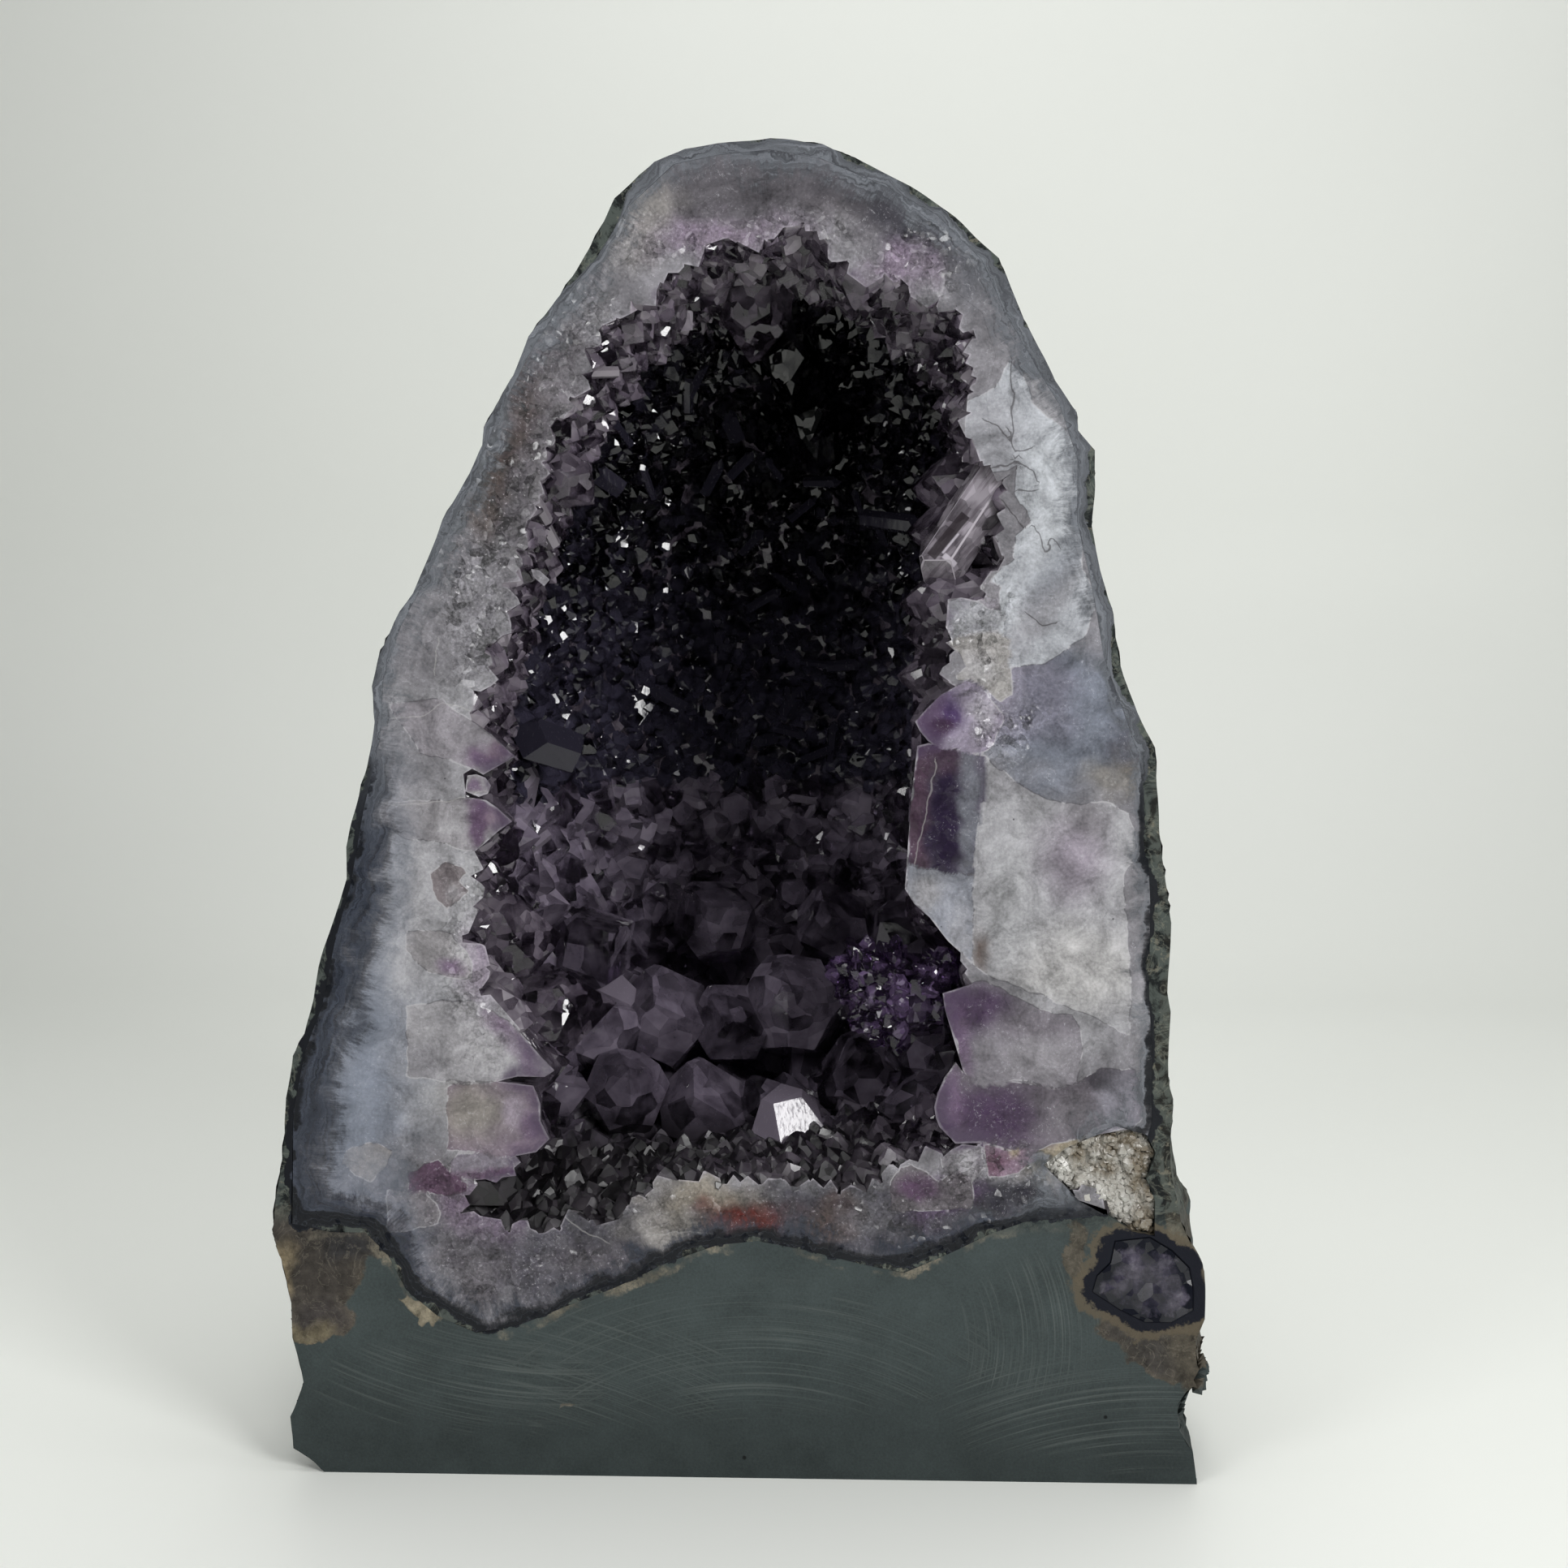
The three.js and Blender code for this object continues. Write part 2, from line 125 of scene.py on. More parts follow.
def face_facts(piece: bpy.types.Object) -> tuple[np.ndarray, np.ndarray]:
    """The centres and the normals of the piece's faces."""
    count = len(piece.data.polygons)
    centres = np.empty(count * 3)
    normals = np.empty(count * 3)
    piece.data.polygons.foreach_get("center", centres)
    piece.data.polygons.foreach_get("normal", normals)
    return centres.reshape(-1, 3), normals.reshape(-1, 3)


def select_faces(piece: bpy.types.Object, chosen: np.ndarray) -> None:
    """Select the faces of a mask, and go into edit mode with faces as the selection."""
    make_active(piece)
    mesh = piece.data
    mesh.vertices.foreach_set("select", np.zeros(len(mesh.vertices), bool))
    mesh.edges.foreach_set("select", np.zeros(len(mesh.edges), bool))
    mesh.polygons.foreach_set("select", chosen)
    bpy.context.tool_settings.mesh_select_mode = (False, False, True)
    bpy.ops.object.mode_set(mode="EDIT")


def select_edges(piece: bpy.types.Object, chosen: np.ndarray) -> None:
    """Select the edges of a mask, and go into edit mode with edges as the selection."""
    make_active(piece)
    mesh = piece.data
    mesh.vertices.foreach_set("select", np.zeros(len(mesh.vertices), bool))
    mesh.polygons.foreach_set("select", np.zeros(len(mesh.polygons), bool))
    mesh.edges.foreach_set("select", chosen)
    bpy.context.tool_settings.mesh_select_mode = (False, True, False)
    bpy.ops.object.mode_set(mode="EDIT")


def edge_facts(piece: bpy.types.Object) -> tuple[np.ndarray, np.ndarray]:
    """The end points of each edge as pairs of vertex numbers, and the edges' lengths."""
    ends = np.empty(len(piece.data.edges) * 2, np.int32)
    piece.data.edges.foreach_get("vertices", ends)
    ends = ends.reshape(-1, 2)
    places = vertices_of(piece)
    return ends, np.linalg.norm(places[ends[:, 0]] - places[ends[:, 1]], axis=1)


def edge_faces(piece: bpy.types.Object) -> np.ndarray:
    """For each edge the numbers of its first two faces, or -1 where it has none."""
    mesh = piece.data
    loop_edge = np.empty(len(mesh.loops), np.int32)
    mesh.loops.foreach_get("edge_index", loop_edge)
    totals = np.empty(len(mesh.polygons), np.int32)
    mesh.polygons.foreach_get("loop_total", totals)
    loop_face = np.repeat(np.arange(len(totals)), totals)
    order = np.argsort(loop_edge, kind="stable")
    edges, first = np.unique(loop_edge[order], return_index=True)
    last = np.append(first[1:], len(order)) - 1
    found = np.full((len(mesh.edges), 2), -1)
    found[edges, 0] = loop_face[order[first]]
    found[edges, 1] = np.where(last > first, loop_face[order[last]], -1)
    return found


def refine(piece: bpy.types.Object, chooser, longest: float, rounds: int) -> None:
    """Split the long edges of some faces until they are short.

    Args:
        piece: the mesh to refine.
        chooser: gives the mask of the faces to refine from their centres and normals.
        longest: the longest edge that stays.
        rounds: the most times that every long edge is halved.
    """
    for _ in range(rounds):
        chosen = np.append(chooser(*face_facts(piece)), False)
        sides = edge_faces(piece)
        _, lengths = edge_facts(piece)
        long_ones = chosen[sides].any(axis=1) & (lengths > longest)
        if not long_ones.any():
            return
        select_edges(piece, long_ones)
        bpy.ops.mesh.subdivide(number_cuts=1)
        bpy.ops.mesh.select_all(action="SELECT")
        bpy.ops.mesh.quads_convert_to_tris(quad_method="SHORTEST_DIAGONAL")
        bpy.ops.object.mode_set(mode="OBJECT")


def apply_modifier(piece: bpy.types.Object, kind: str, **settings) -> None:
    """Add a modifier to a piece, set it and apply it."""
    make_active(piece)
    modifier = piece.modifiers.new(kind.lower(), kind)
    for name, value in settings.items():
        setattr(modifier, name, value)
    bpy.ops.object.modifier_apply(modifier=modifier.name)


def copy_of_node(node: str, name: str) -> bpy.types.Object:
    """A copy of a node's mesh under a new name, with its loose triangles joined."""
    piece = bpy.data.objects.new(name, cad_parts[node].data.copy())
    piece.data.name = name
    piece.data.materials.clear()
    bpy.context.scene.collection.objects.link(piece)
    make_active(piece)
    bpy.ops.object.mode_set(mode="EDIT")
    bpy.ops.mesh.select_all(action="SELECT")
    bpy.ops.mesh.remove_doubles(threshold=0.005 * MM)
    bpy.ops.object.mode_set(mode="OBJECT")
    if piece.data.has_custom_normals:
        bpy.ops.mesh.customdata_custom_splitnormals_clear()
    bpy.ops.object.shade_flat()
    return piece


def new_piece(name: str, places: np.ndarray, faces: list) -> bpy.types.Object:
    """A piece from rows of x, y and z and lists of vertex numbers."""
    mesh = bpy.data.meshes.new(name)
    mesh.from_pydata(places.tolist(), [], faces)
    mesh.update()
    piece = bpy.data.objects.new(name, mesh)
    bpy.context.scene.collection.objects.link(piece)
    return piece


def join_solid(piece: bpy.types.Object, other: bpy.types.Object, operation: str) -> None:
    """Join another closed mesh to the piece, or cut it away, and remove the other one."""
    apply_modifier(piece, "BOOLEAN", object=other, operation=operation, solver="MANIFOLD")
    bpy.data.objects.remove(other, do_unlink=True)


def set_attribute(piece: bpy.types.Object, name: str, values: np.ndarray, domain: str) -> None:
    """Store a number, vector or colour for each point or face, for the materials to read."""
    old = piece.data.attributes.get(name)
    if old:
        piece.data.attributes.remove(old)
    kind, key = {1: ("FLOAT", "value"), 3: ("FLOAT_VECTOR", "vector"), 4: ("FLOAT_COLOR", "color")}[
        1 if values.ndim == 1 else values.shape[1]
    ]
    made = piece.data.attributes.new(name, kind, domain)
    made.data.foreach_set(key, values.astype(np.float32).ravel())


def ease(values: np.ndarray, low: float, high: float) -> np.ndarray:
    """From 0 at low to 1 at high with soft ends."""
    share = np.clip((values - low) / (high - low), 0.0, 1.0)
    return share * share * (3 - 2 * share)


def on_sawn_face(centres: np.ndarray, normals: np.ndarray) -> np.ndarray:
    """The mask of the faces that lie in the sawn front."""
    return (normals[:, 1] < -0.99) & (centres[:, 1] < (FACE_Y + 0.3) * MM)


class Shader:
    """A material whose nodes are added one by one and wired as they come."""

    def __init__(self, name: str) -> None:
        """Start an empty material of that name."""
        self.material = bpy.data.materials.new(name)
        self.material.use_nodes = True
        self.tree = self.material.node_tree
        self.tree.nodes.clear()
        self.output = self.tree.nodes.new("ShaderNodeOutputMaterial")
        self.place = self.tree.nodes.new("ShaderNodeTexCoord").outputs["Object"]

    def add(self, kind: str, inputs: dict, **settings) -> bpy.types.Node:
        """Add a node, set its options and set or link its inputs."""
        node = self.tree.nodes.new(kind)
        for name, value in settings.items():
            setattr(node, name, value)
        for name, value in inputs.items():
            if isinstance(value, bpy.types.NodeSocket):
                self.tree.links.new(value, node.inputs[name])
            else:
                node.inputs[name].default_value = value
        return node

    def math(self, operation: str, first, second=0.0, clamp: bool = False):
        """A math node's result."""
        node = self.add("ShaderNodeMath", {0: first, 1: second}, operation=operation)
        node.use_clamp = clamp
        return node.outputs[0]

    def mapped(self, scale=(1, 1, 1), shift=(0, 0, 0), turn=(0, 0, 0), vector=None):
        """Coordinates that are moved, turned and scaled."""
        inputs = {"Vector": vector or self.place, "Scale": scale, "Location": shift}
        return self.add("ShaderNodeMapping", {**inputs, "Rotation": turn}).outputs[0]

    def noise(self, size: float, vector=None, detail=4.0, rough=0.55, distortion=0.0):
        """Noise whose features are about size millimetres across, from 0 to 1."""
        inputs = {"Vector": vector or self.place, "Scale": 1 / (size * MM), "Detail": detail}
        inputs |= {"Roughness": rough, "Distortion": distortion}
        return self.add("ShaderNodeTexNoise", inputs).outputs[0]

    def cells(self, size: float, feature="F1", vector=None, output="Distance"):
        """Cells about size millimetres across."""
        inputs = {"Vector": vector or self.place, "Scale": 1 / (size * MM)}
        return self.add("ShaderNodeTexVoronoi", inputs, feature=feature).outputs[output]

    def between(self, value, low: float, high: float, start=0.0, end=1.0):
        """A value eased from start at low to end at high."""
        inputs = {"Value": value, "From Min": low, "From Max": high, "To Min": start, "To Max": end}
        node = self.add("ShaderNodeMapRange", inputs, interpolation_type="SMOOTHSTEP")
        return node.outputs[0]

    def mix(self, share, first, second, blend="MIX"):
        """Two colours mixed by a share."""
        node = self.tree.nodes.new("ShaderNodeMix")
        node.data_type = "RGBA"
        node.blend_type = blend
        for number, value in ((0, share), (6, first), (7, second)):
            if isinstance(value, bpy.types.NodeSocket):
                self.tree.links.new(value, node.inputs[number])
            else:
                node.inputs[number].default_value = value
        return node.outputs[2]

    def ramp(self, share, stops: list):
        """A colour ramp from (position, colour) stops."""
        node = self.add("ShaderNodeValToRGB", {"Fac": share})
        elements = node.color_ramp.elements
        while len(elements) < len(stops):
            elements.new(0.5)
        for element, (position, colour) in zip(elements, stops):
            element.position = position
            element.color = colour
        return node.outputs[0]

    def attribute(self, name: str, output: str = "Fac"):
        """A value that is stored on the mesh."""
        return self.add("ShaderNodeAttribute", {}, attribute_name=name).outputs[output]

    def sum(self, first, *terms):
        """A number with other terms added, each a (value, factor) pair."""
        total = first
        for value, factor in terms:
            total = self.math("ADD", total, self.math("MULTIPLY", value, factor))
        return total

    def about(self, value, factor: float):
        """A value from 0 to 1 spread about zero."""
        return self.math("MULTIPLY", self.math("SUBTRACT", value, 0.5), factor)

    def split(self) -> tuple:
        """The three numbers of the place on the object."""
        return tuple(self.add("ShaderNodeSeparateXYZ", {0: self.place}).outputs)

    def shaded(self, colour, light):
        """A colour made lighter or darker by a factor."""
        grey = self.add("ShaderNodeCombineColor", {0: light, 1: light, 2: light}).outputs[0]
        return self.mix(1.0, colour, grey, "MULTIPLY")

    def vectors(self, operation: str, first, second):
        """A vector math node."""
        return self.add("ShaderNodeVectorMath", {0: first, 1: second}, operation=operation)

    def warp(self, size: float, amount: float):
        """The place on the object, pushed about by noise of that size, by up to amount mm."""
        inputs = {"Vector": self.place, "Scale": 1 / (size * MM), "Detail": 1.0}
        colour = self.add("ShaderNodeTexNoise", inputs).outputs["Color"]
        push = self.vectors("SUBTRACT", colour, (0.5, 0.5, 0.5)).outputs[0]
        push = self.vectors("MULTIPLY", push, (4 * amount * MM,) * 3).outputs[0]
        return self.vectors("ADD", self.place, push).outputs[0]

    def facets(self, size: float, place=None):
        """Small flat facets: a random share for each, and their height in metres."""
        place = place or self.place
        node = self.add("ShaderNodeTexVoronoi", {"Vector": place, "Scale": 1 / (size * MM)})
        split = self.add("ShaderNodeSeparateColor", {0: node.outputs["Color"]})
        away = self.vectors("SUBTRACT", place, node.outputs["Position"]).outputs[0]
        lean = self.vectors("SUBTRACT", node.outputs["Color"], (0.5, 0.5, 0.5)).outputs[0]
        return split.outputs[0], self.vectors("DOT_PRODUCT", away, lean).outputs["Value"]

    def stripe(self, across, middle: float, half: float, along, centre: float, reach: float):
        """A soft bar: half its width about the middle, and how far it reaches along."""
        parts = []
        for value, at, size in ((across, middle, half), (along, centre, reach)):
            away = self.math("ABSOLUTE", self.math("SUBTRACT", value, at))
            parts.append(self.between(away, size, size + 0.3, 1.0, 0.0))
        return self.math("MULTIPLY", *parts)

    def arcs(self, middle: tuple[float, float], spacing: float, length: float, seed: float):
        """Streaks along circles round a middle on the sawn face, in millimetres."""
        moved = self.mapped(shift=(-middle[0] * MM, 0, -middle[1] * MM))
        parts = self.add("ShaderNodeSeparateXYZ", {0: moved})
        flat = self.add("ShaderNodeCombineXYZ", {0: parts.outputs[0], 1: parts.outputs[2]}).outputs[0]
        radius = self.add("ShaderNodeVectorMath", {0: flat}, operation="LENGTH").outputs["Value"]
        turn = self.math("ARCTAN2", parts.outputs[2], parts.outputs[0])
        place = self.add("ShaderNodeCombineXYZ", {
            0: self.math("MULTIPLY", radius, 1 / (spacing * MM)),
            1: self.math("MULTIPLY", turn, length), 2: seed,
        }).outputs[0]
        inputs = {"Vector": place, "Scale": 1.0, "Detail": 2.0, "Roughness": 0.6}
        return self.add("ShaderNodeTexNoise", inputs).outputs[0]

    def bump(self, height, strength: float, distance: float, normal=None):
        """A normal that is bent by a height given as a share of distance millimetres."""
        inputs = {"Height": height, "Strength": strength, "Distance": distance * MM}
        if normal:
            inputs["Normal"] = normal
        return self.add("ShaderNodeBump", inputs).outputs[0]

    def surface(self, inputs: dict) -> bpy.types.Node:
        """Finish the surface with one principled shader."""
        node = self.add("ShaderNodeBsdfPrincipled", inputs)
        self.tree.links.new(node.outputs[0], self.output.inputs["Surface"])
        return node


@dataclass(frozen=True)
class Patch:
    """A soft patch on the sawn face: its middle and radii in millimetres, across and up."""

    middle: tuple[float, float]
    radii: tuple[float, float]
    colour: tuple[float, float, float, float] = (1.0, 1.0, 1.0, 1.0)
    strength: float = 1.0
    soft: float = 0.5
    turn: float = 0.0

    def share(self, points: np.ndarray) -> np.ndarray:
        """How much of the patch lies at each point, from 0 to its strength."""
        away = points - np.array(self.middle)
        turn = math.radians(self.turn)
        across = away[:, 0] * math.cos(turn) + away[:, 1] * math.sin(turn)
        up = away[:, 1] * math.cos(turn) - away[:, 0] * math.sin(turn)
        reach = np.hypot(across / self.radii[0], up / self.radii[1])
        return self.strength * (1 - ease(reach, 1 - self.soft, 1 + self.soft))


@dataclass(frozen=True)
class Crack:
    """A thin line on the sawn face through points in millimetres, dark or light."""

    points: tuple
    dark: bool = True


MILK = srgb(152, 151, 155)
WARM_MILK = srgb(150, 146, 142)
FROST = srgb(166, 168, 174)
BLUE_GREY = srgb(110, 115, 127)
GREY = srgb(124, 122, 127)
DULL = srgb(96, 92, 97)
DEEP = srgb(70, 68, 76)
LILAC = srgb(128, 112, 132)
PURPLE = srgb(84, 60, 94)
OCHRE = srgb(140, 130, 110)
BROWN = srgb(84, 66, 56)
RUST = srgb(84, 36, 32)

# The quartz on the sawn face, from the widest patches to the smallest.
SAWN_PATCHES = (
    Patch((-66, 106), (32, 36), MILK, 0.9, 0.6), Patch((-77, 92), (14, 20), BLUE_GREY, 0.5, 0.6),
    Patch((-56, 88), (14, 12), WARM_MILK, 0.5, 0.6), Patch((-85, 84), (8, 26), BLUE_GREY, 0.85, 0.6),
    Patch((-66, 66), (26, 10), DULL, 0.8, 0.6), Patch((-80, 57), (12, 7), DEEP, 0.8, 0.6),
    Patch((-57, 62), (9, 7), LILAC, 0.8, 0.6), Patch((-52, 120), (9, 12), LILAC, 0.6, 0.6),
    Patch((-66, 152), (16, 22), MILK, 0.7, 0.6), Patch((-72, 163), (9, 9), GREY, 0.7, 0.6),
    Patch((-67, 177), (15, 6), MILK, 0.8, 0.7), Patch((-64, 194), (15, 12), GREY, 0.7, 0.6),
    Patch((-56, 208), (12, 16), GREY, 0.8, 0.6), Patch((-49, 226), (9, 20), DULL, 0.9, 0.6),
    Patch((-60, 224), (6, 7), WARM_MILK, 0.6, 0.7), Patch((-43, 247), (10, 15), DULL, 0.9, 0.6),
    Patch((-54, 226), (4, 14), srgb(66, 54, 50), 0.85, 0.8, -18), Patch((-47, 243), (4, 6), srgb(66, 54, 50), 0.6, 0.8),
    Patch((-4, 290), (42, 10), srgb(88, 85, 90), 0.95, 0.5), Patch((-22, 284), (8, 10), WARM_MILK, 0.6, 0.7),
    Patch((-2, 277), (14, 5), LILAC, 0.7, 0.7), Patch((26, 283), (11, 6), DULL, 0.8, 0.6), Patch((38, 284), (16, 9), srgb(52, 51, 57), 0.95, 0.5, -25),
    Patch((42, 277), (12, 8), DEEP, 0.6, 0.6), Patch((62, 262), (20, 9), srgb(76, 77, 83), 0.9, 0.5, -48), Patch((34, 270), (7, 6), LILAC, 0.7, 0.6),
    Patch((62, 252), (12, 14), GREY, 0.9, 0.5), Patch((66, 240), (9, 10), MILK, 0.6, 0.6),
    Patch((64, 190), (12, 16), GREY, 0.8, 0.6), Patch((56, 188), (7, 12), LILAC, 0.3, 0.6),
    Patch((74, 172), (20, 16), BLUE_GREY, 0.9, 0.5), Patch((62, 176), (11, 8), LILAC, 0.25, 0.6),
    Patch((88, 166), (5, 12), DEEP, 0.7, 0.6), Patch((84, 160), (7, 5), OCHRE, 0.35, 0.6),
    Patch((74, 106), (20, 6), MILK, 0.8, 0.6), Patch((66, 84), (28, 10), DULL, 0.95, 0.6),
    Patch((84, 94), (10, 9), GREY, 0.8, 0.6), Patch((56, 82), (11, 8), PURPLE, 0.8, 0.7),
    Patch((56, 72), (12, 4), GREY, 0.8, 0.7), Patch((30, 60), (40, 9), DEEP, 0.95, 0.4),
    Patch((-24, 50), (44, 12), DEEP, 0.95, 0.4),
    Patch((30, 61), (7, 4), GREY, 0.4, 0.7), Patch((62, 65.5), (13, 4), srgb(42, 41, 48), 0.95, 0.5), Patch((46, 66), (6, 5), PURPLE, 0.7, 0.6),
    Patch((-8, 64), (13, 5), OCHRE, 0.5, 0.6), Patch((-19, 57), (8, 4), WARM_MILK, 0.6, 0.7),
    Patch((1, 59), (8, 4), RUST, 0.95, 0.7), Patch((20, 60), (6, 4), BROWN, 0.6, 0.7),
    Patch((-36, 50), (10, 5), DULL, 0.6, 0.7), Patch((-60, 48), (10, 6), DULL, 0.7, 0.7),
    Patch((70, 75), (8, 3.5), OCHRE, 0.9, 0.8), Patch((-27, 286), (3.5, 5), OCHRE, 0.5, 0.9),
)
# Where the cut crystals are small and sparkle, and where their tips are violet.
SUGAR_PATCHES = (
    Patch((-50, 226), (10, 34), strength=1.0, turn=-20), Patch((-58, 196), (10, 16), strength=0.9),
    Patch((-36, 258), (12, 9), strength=0.8), Patch((-6, 277), (30, 6), strength=0.7),
    Patch((38, 272), (12, 8), strength=0.8), Patch((54, 192), (7, 13), strength=0.9),
    Patch((58, 170), (6, 8), strength=0.9), Patch((-58, 120), (8, 22), strength=0.7),
    Patch((20, 62), (60, 8), strength=0.6), Patch((-60, 60), (26, 14), strength=0.5),
    Patch((58, 72), (16, 6), strength=0.9), Patch((-50, 48), (30, 8), strength=0.6),
)
VIOLET_PATCHES = (
    Patch((-50, 164), (9, 9), strength=1.0), Patch((-51, 149), (8, 8), strength=1.0),
    Patch((-44, 94), (10, 10), strength=0.9), Patch((-44, 77), (9, 8), strength=1.0),
    Patch((-56, 64), (14, 7), strength=0.9), Patch((-58, 112), (8, 9), strength=0.6),
    Patch((-28, 262), (18, 10), strength=0.5), Patch((44, 172), (8, 9), strength=0.9),
    Patch((50, 108), (10, 9), strength=1.0), Patch((50, 82), (14, 10), strength=1.0),
    Patch((46, 68), (7, 6), strength=0.8), Patch((22, 272), (24, 12), strength=0.5),
    Patch((-56, 190), (9, 30), strength=0.35), Patch((48, 196), (8, 30), strength=0.5),
)
PLUM = srgb(62, 44, 70)
MAUVE = srgb(100, 80, 106)
PALE = srgb(162, 160, 164)
DUSK = srgb(46, 44, 51)
ROSE = srgb(122, 104, 118)


@dataclass(frozen=True)
class Slab:
    """A crystal that the saw has cut, with an outline in mm, a colour and patches on it.

    Each patch is a row of Patch's values. The crystal goes back by depth mm, or is only painted.
    """

    outline: tuple
    colour: tuple
    patches: tuple = ()
    depth: float = 0.0


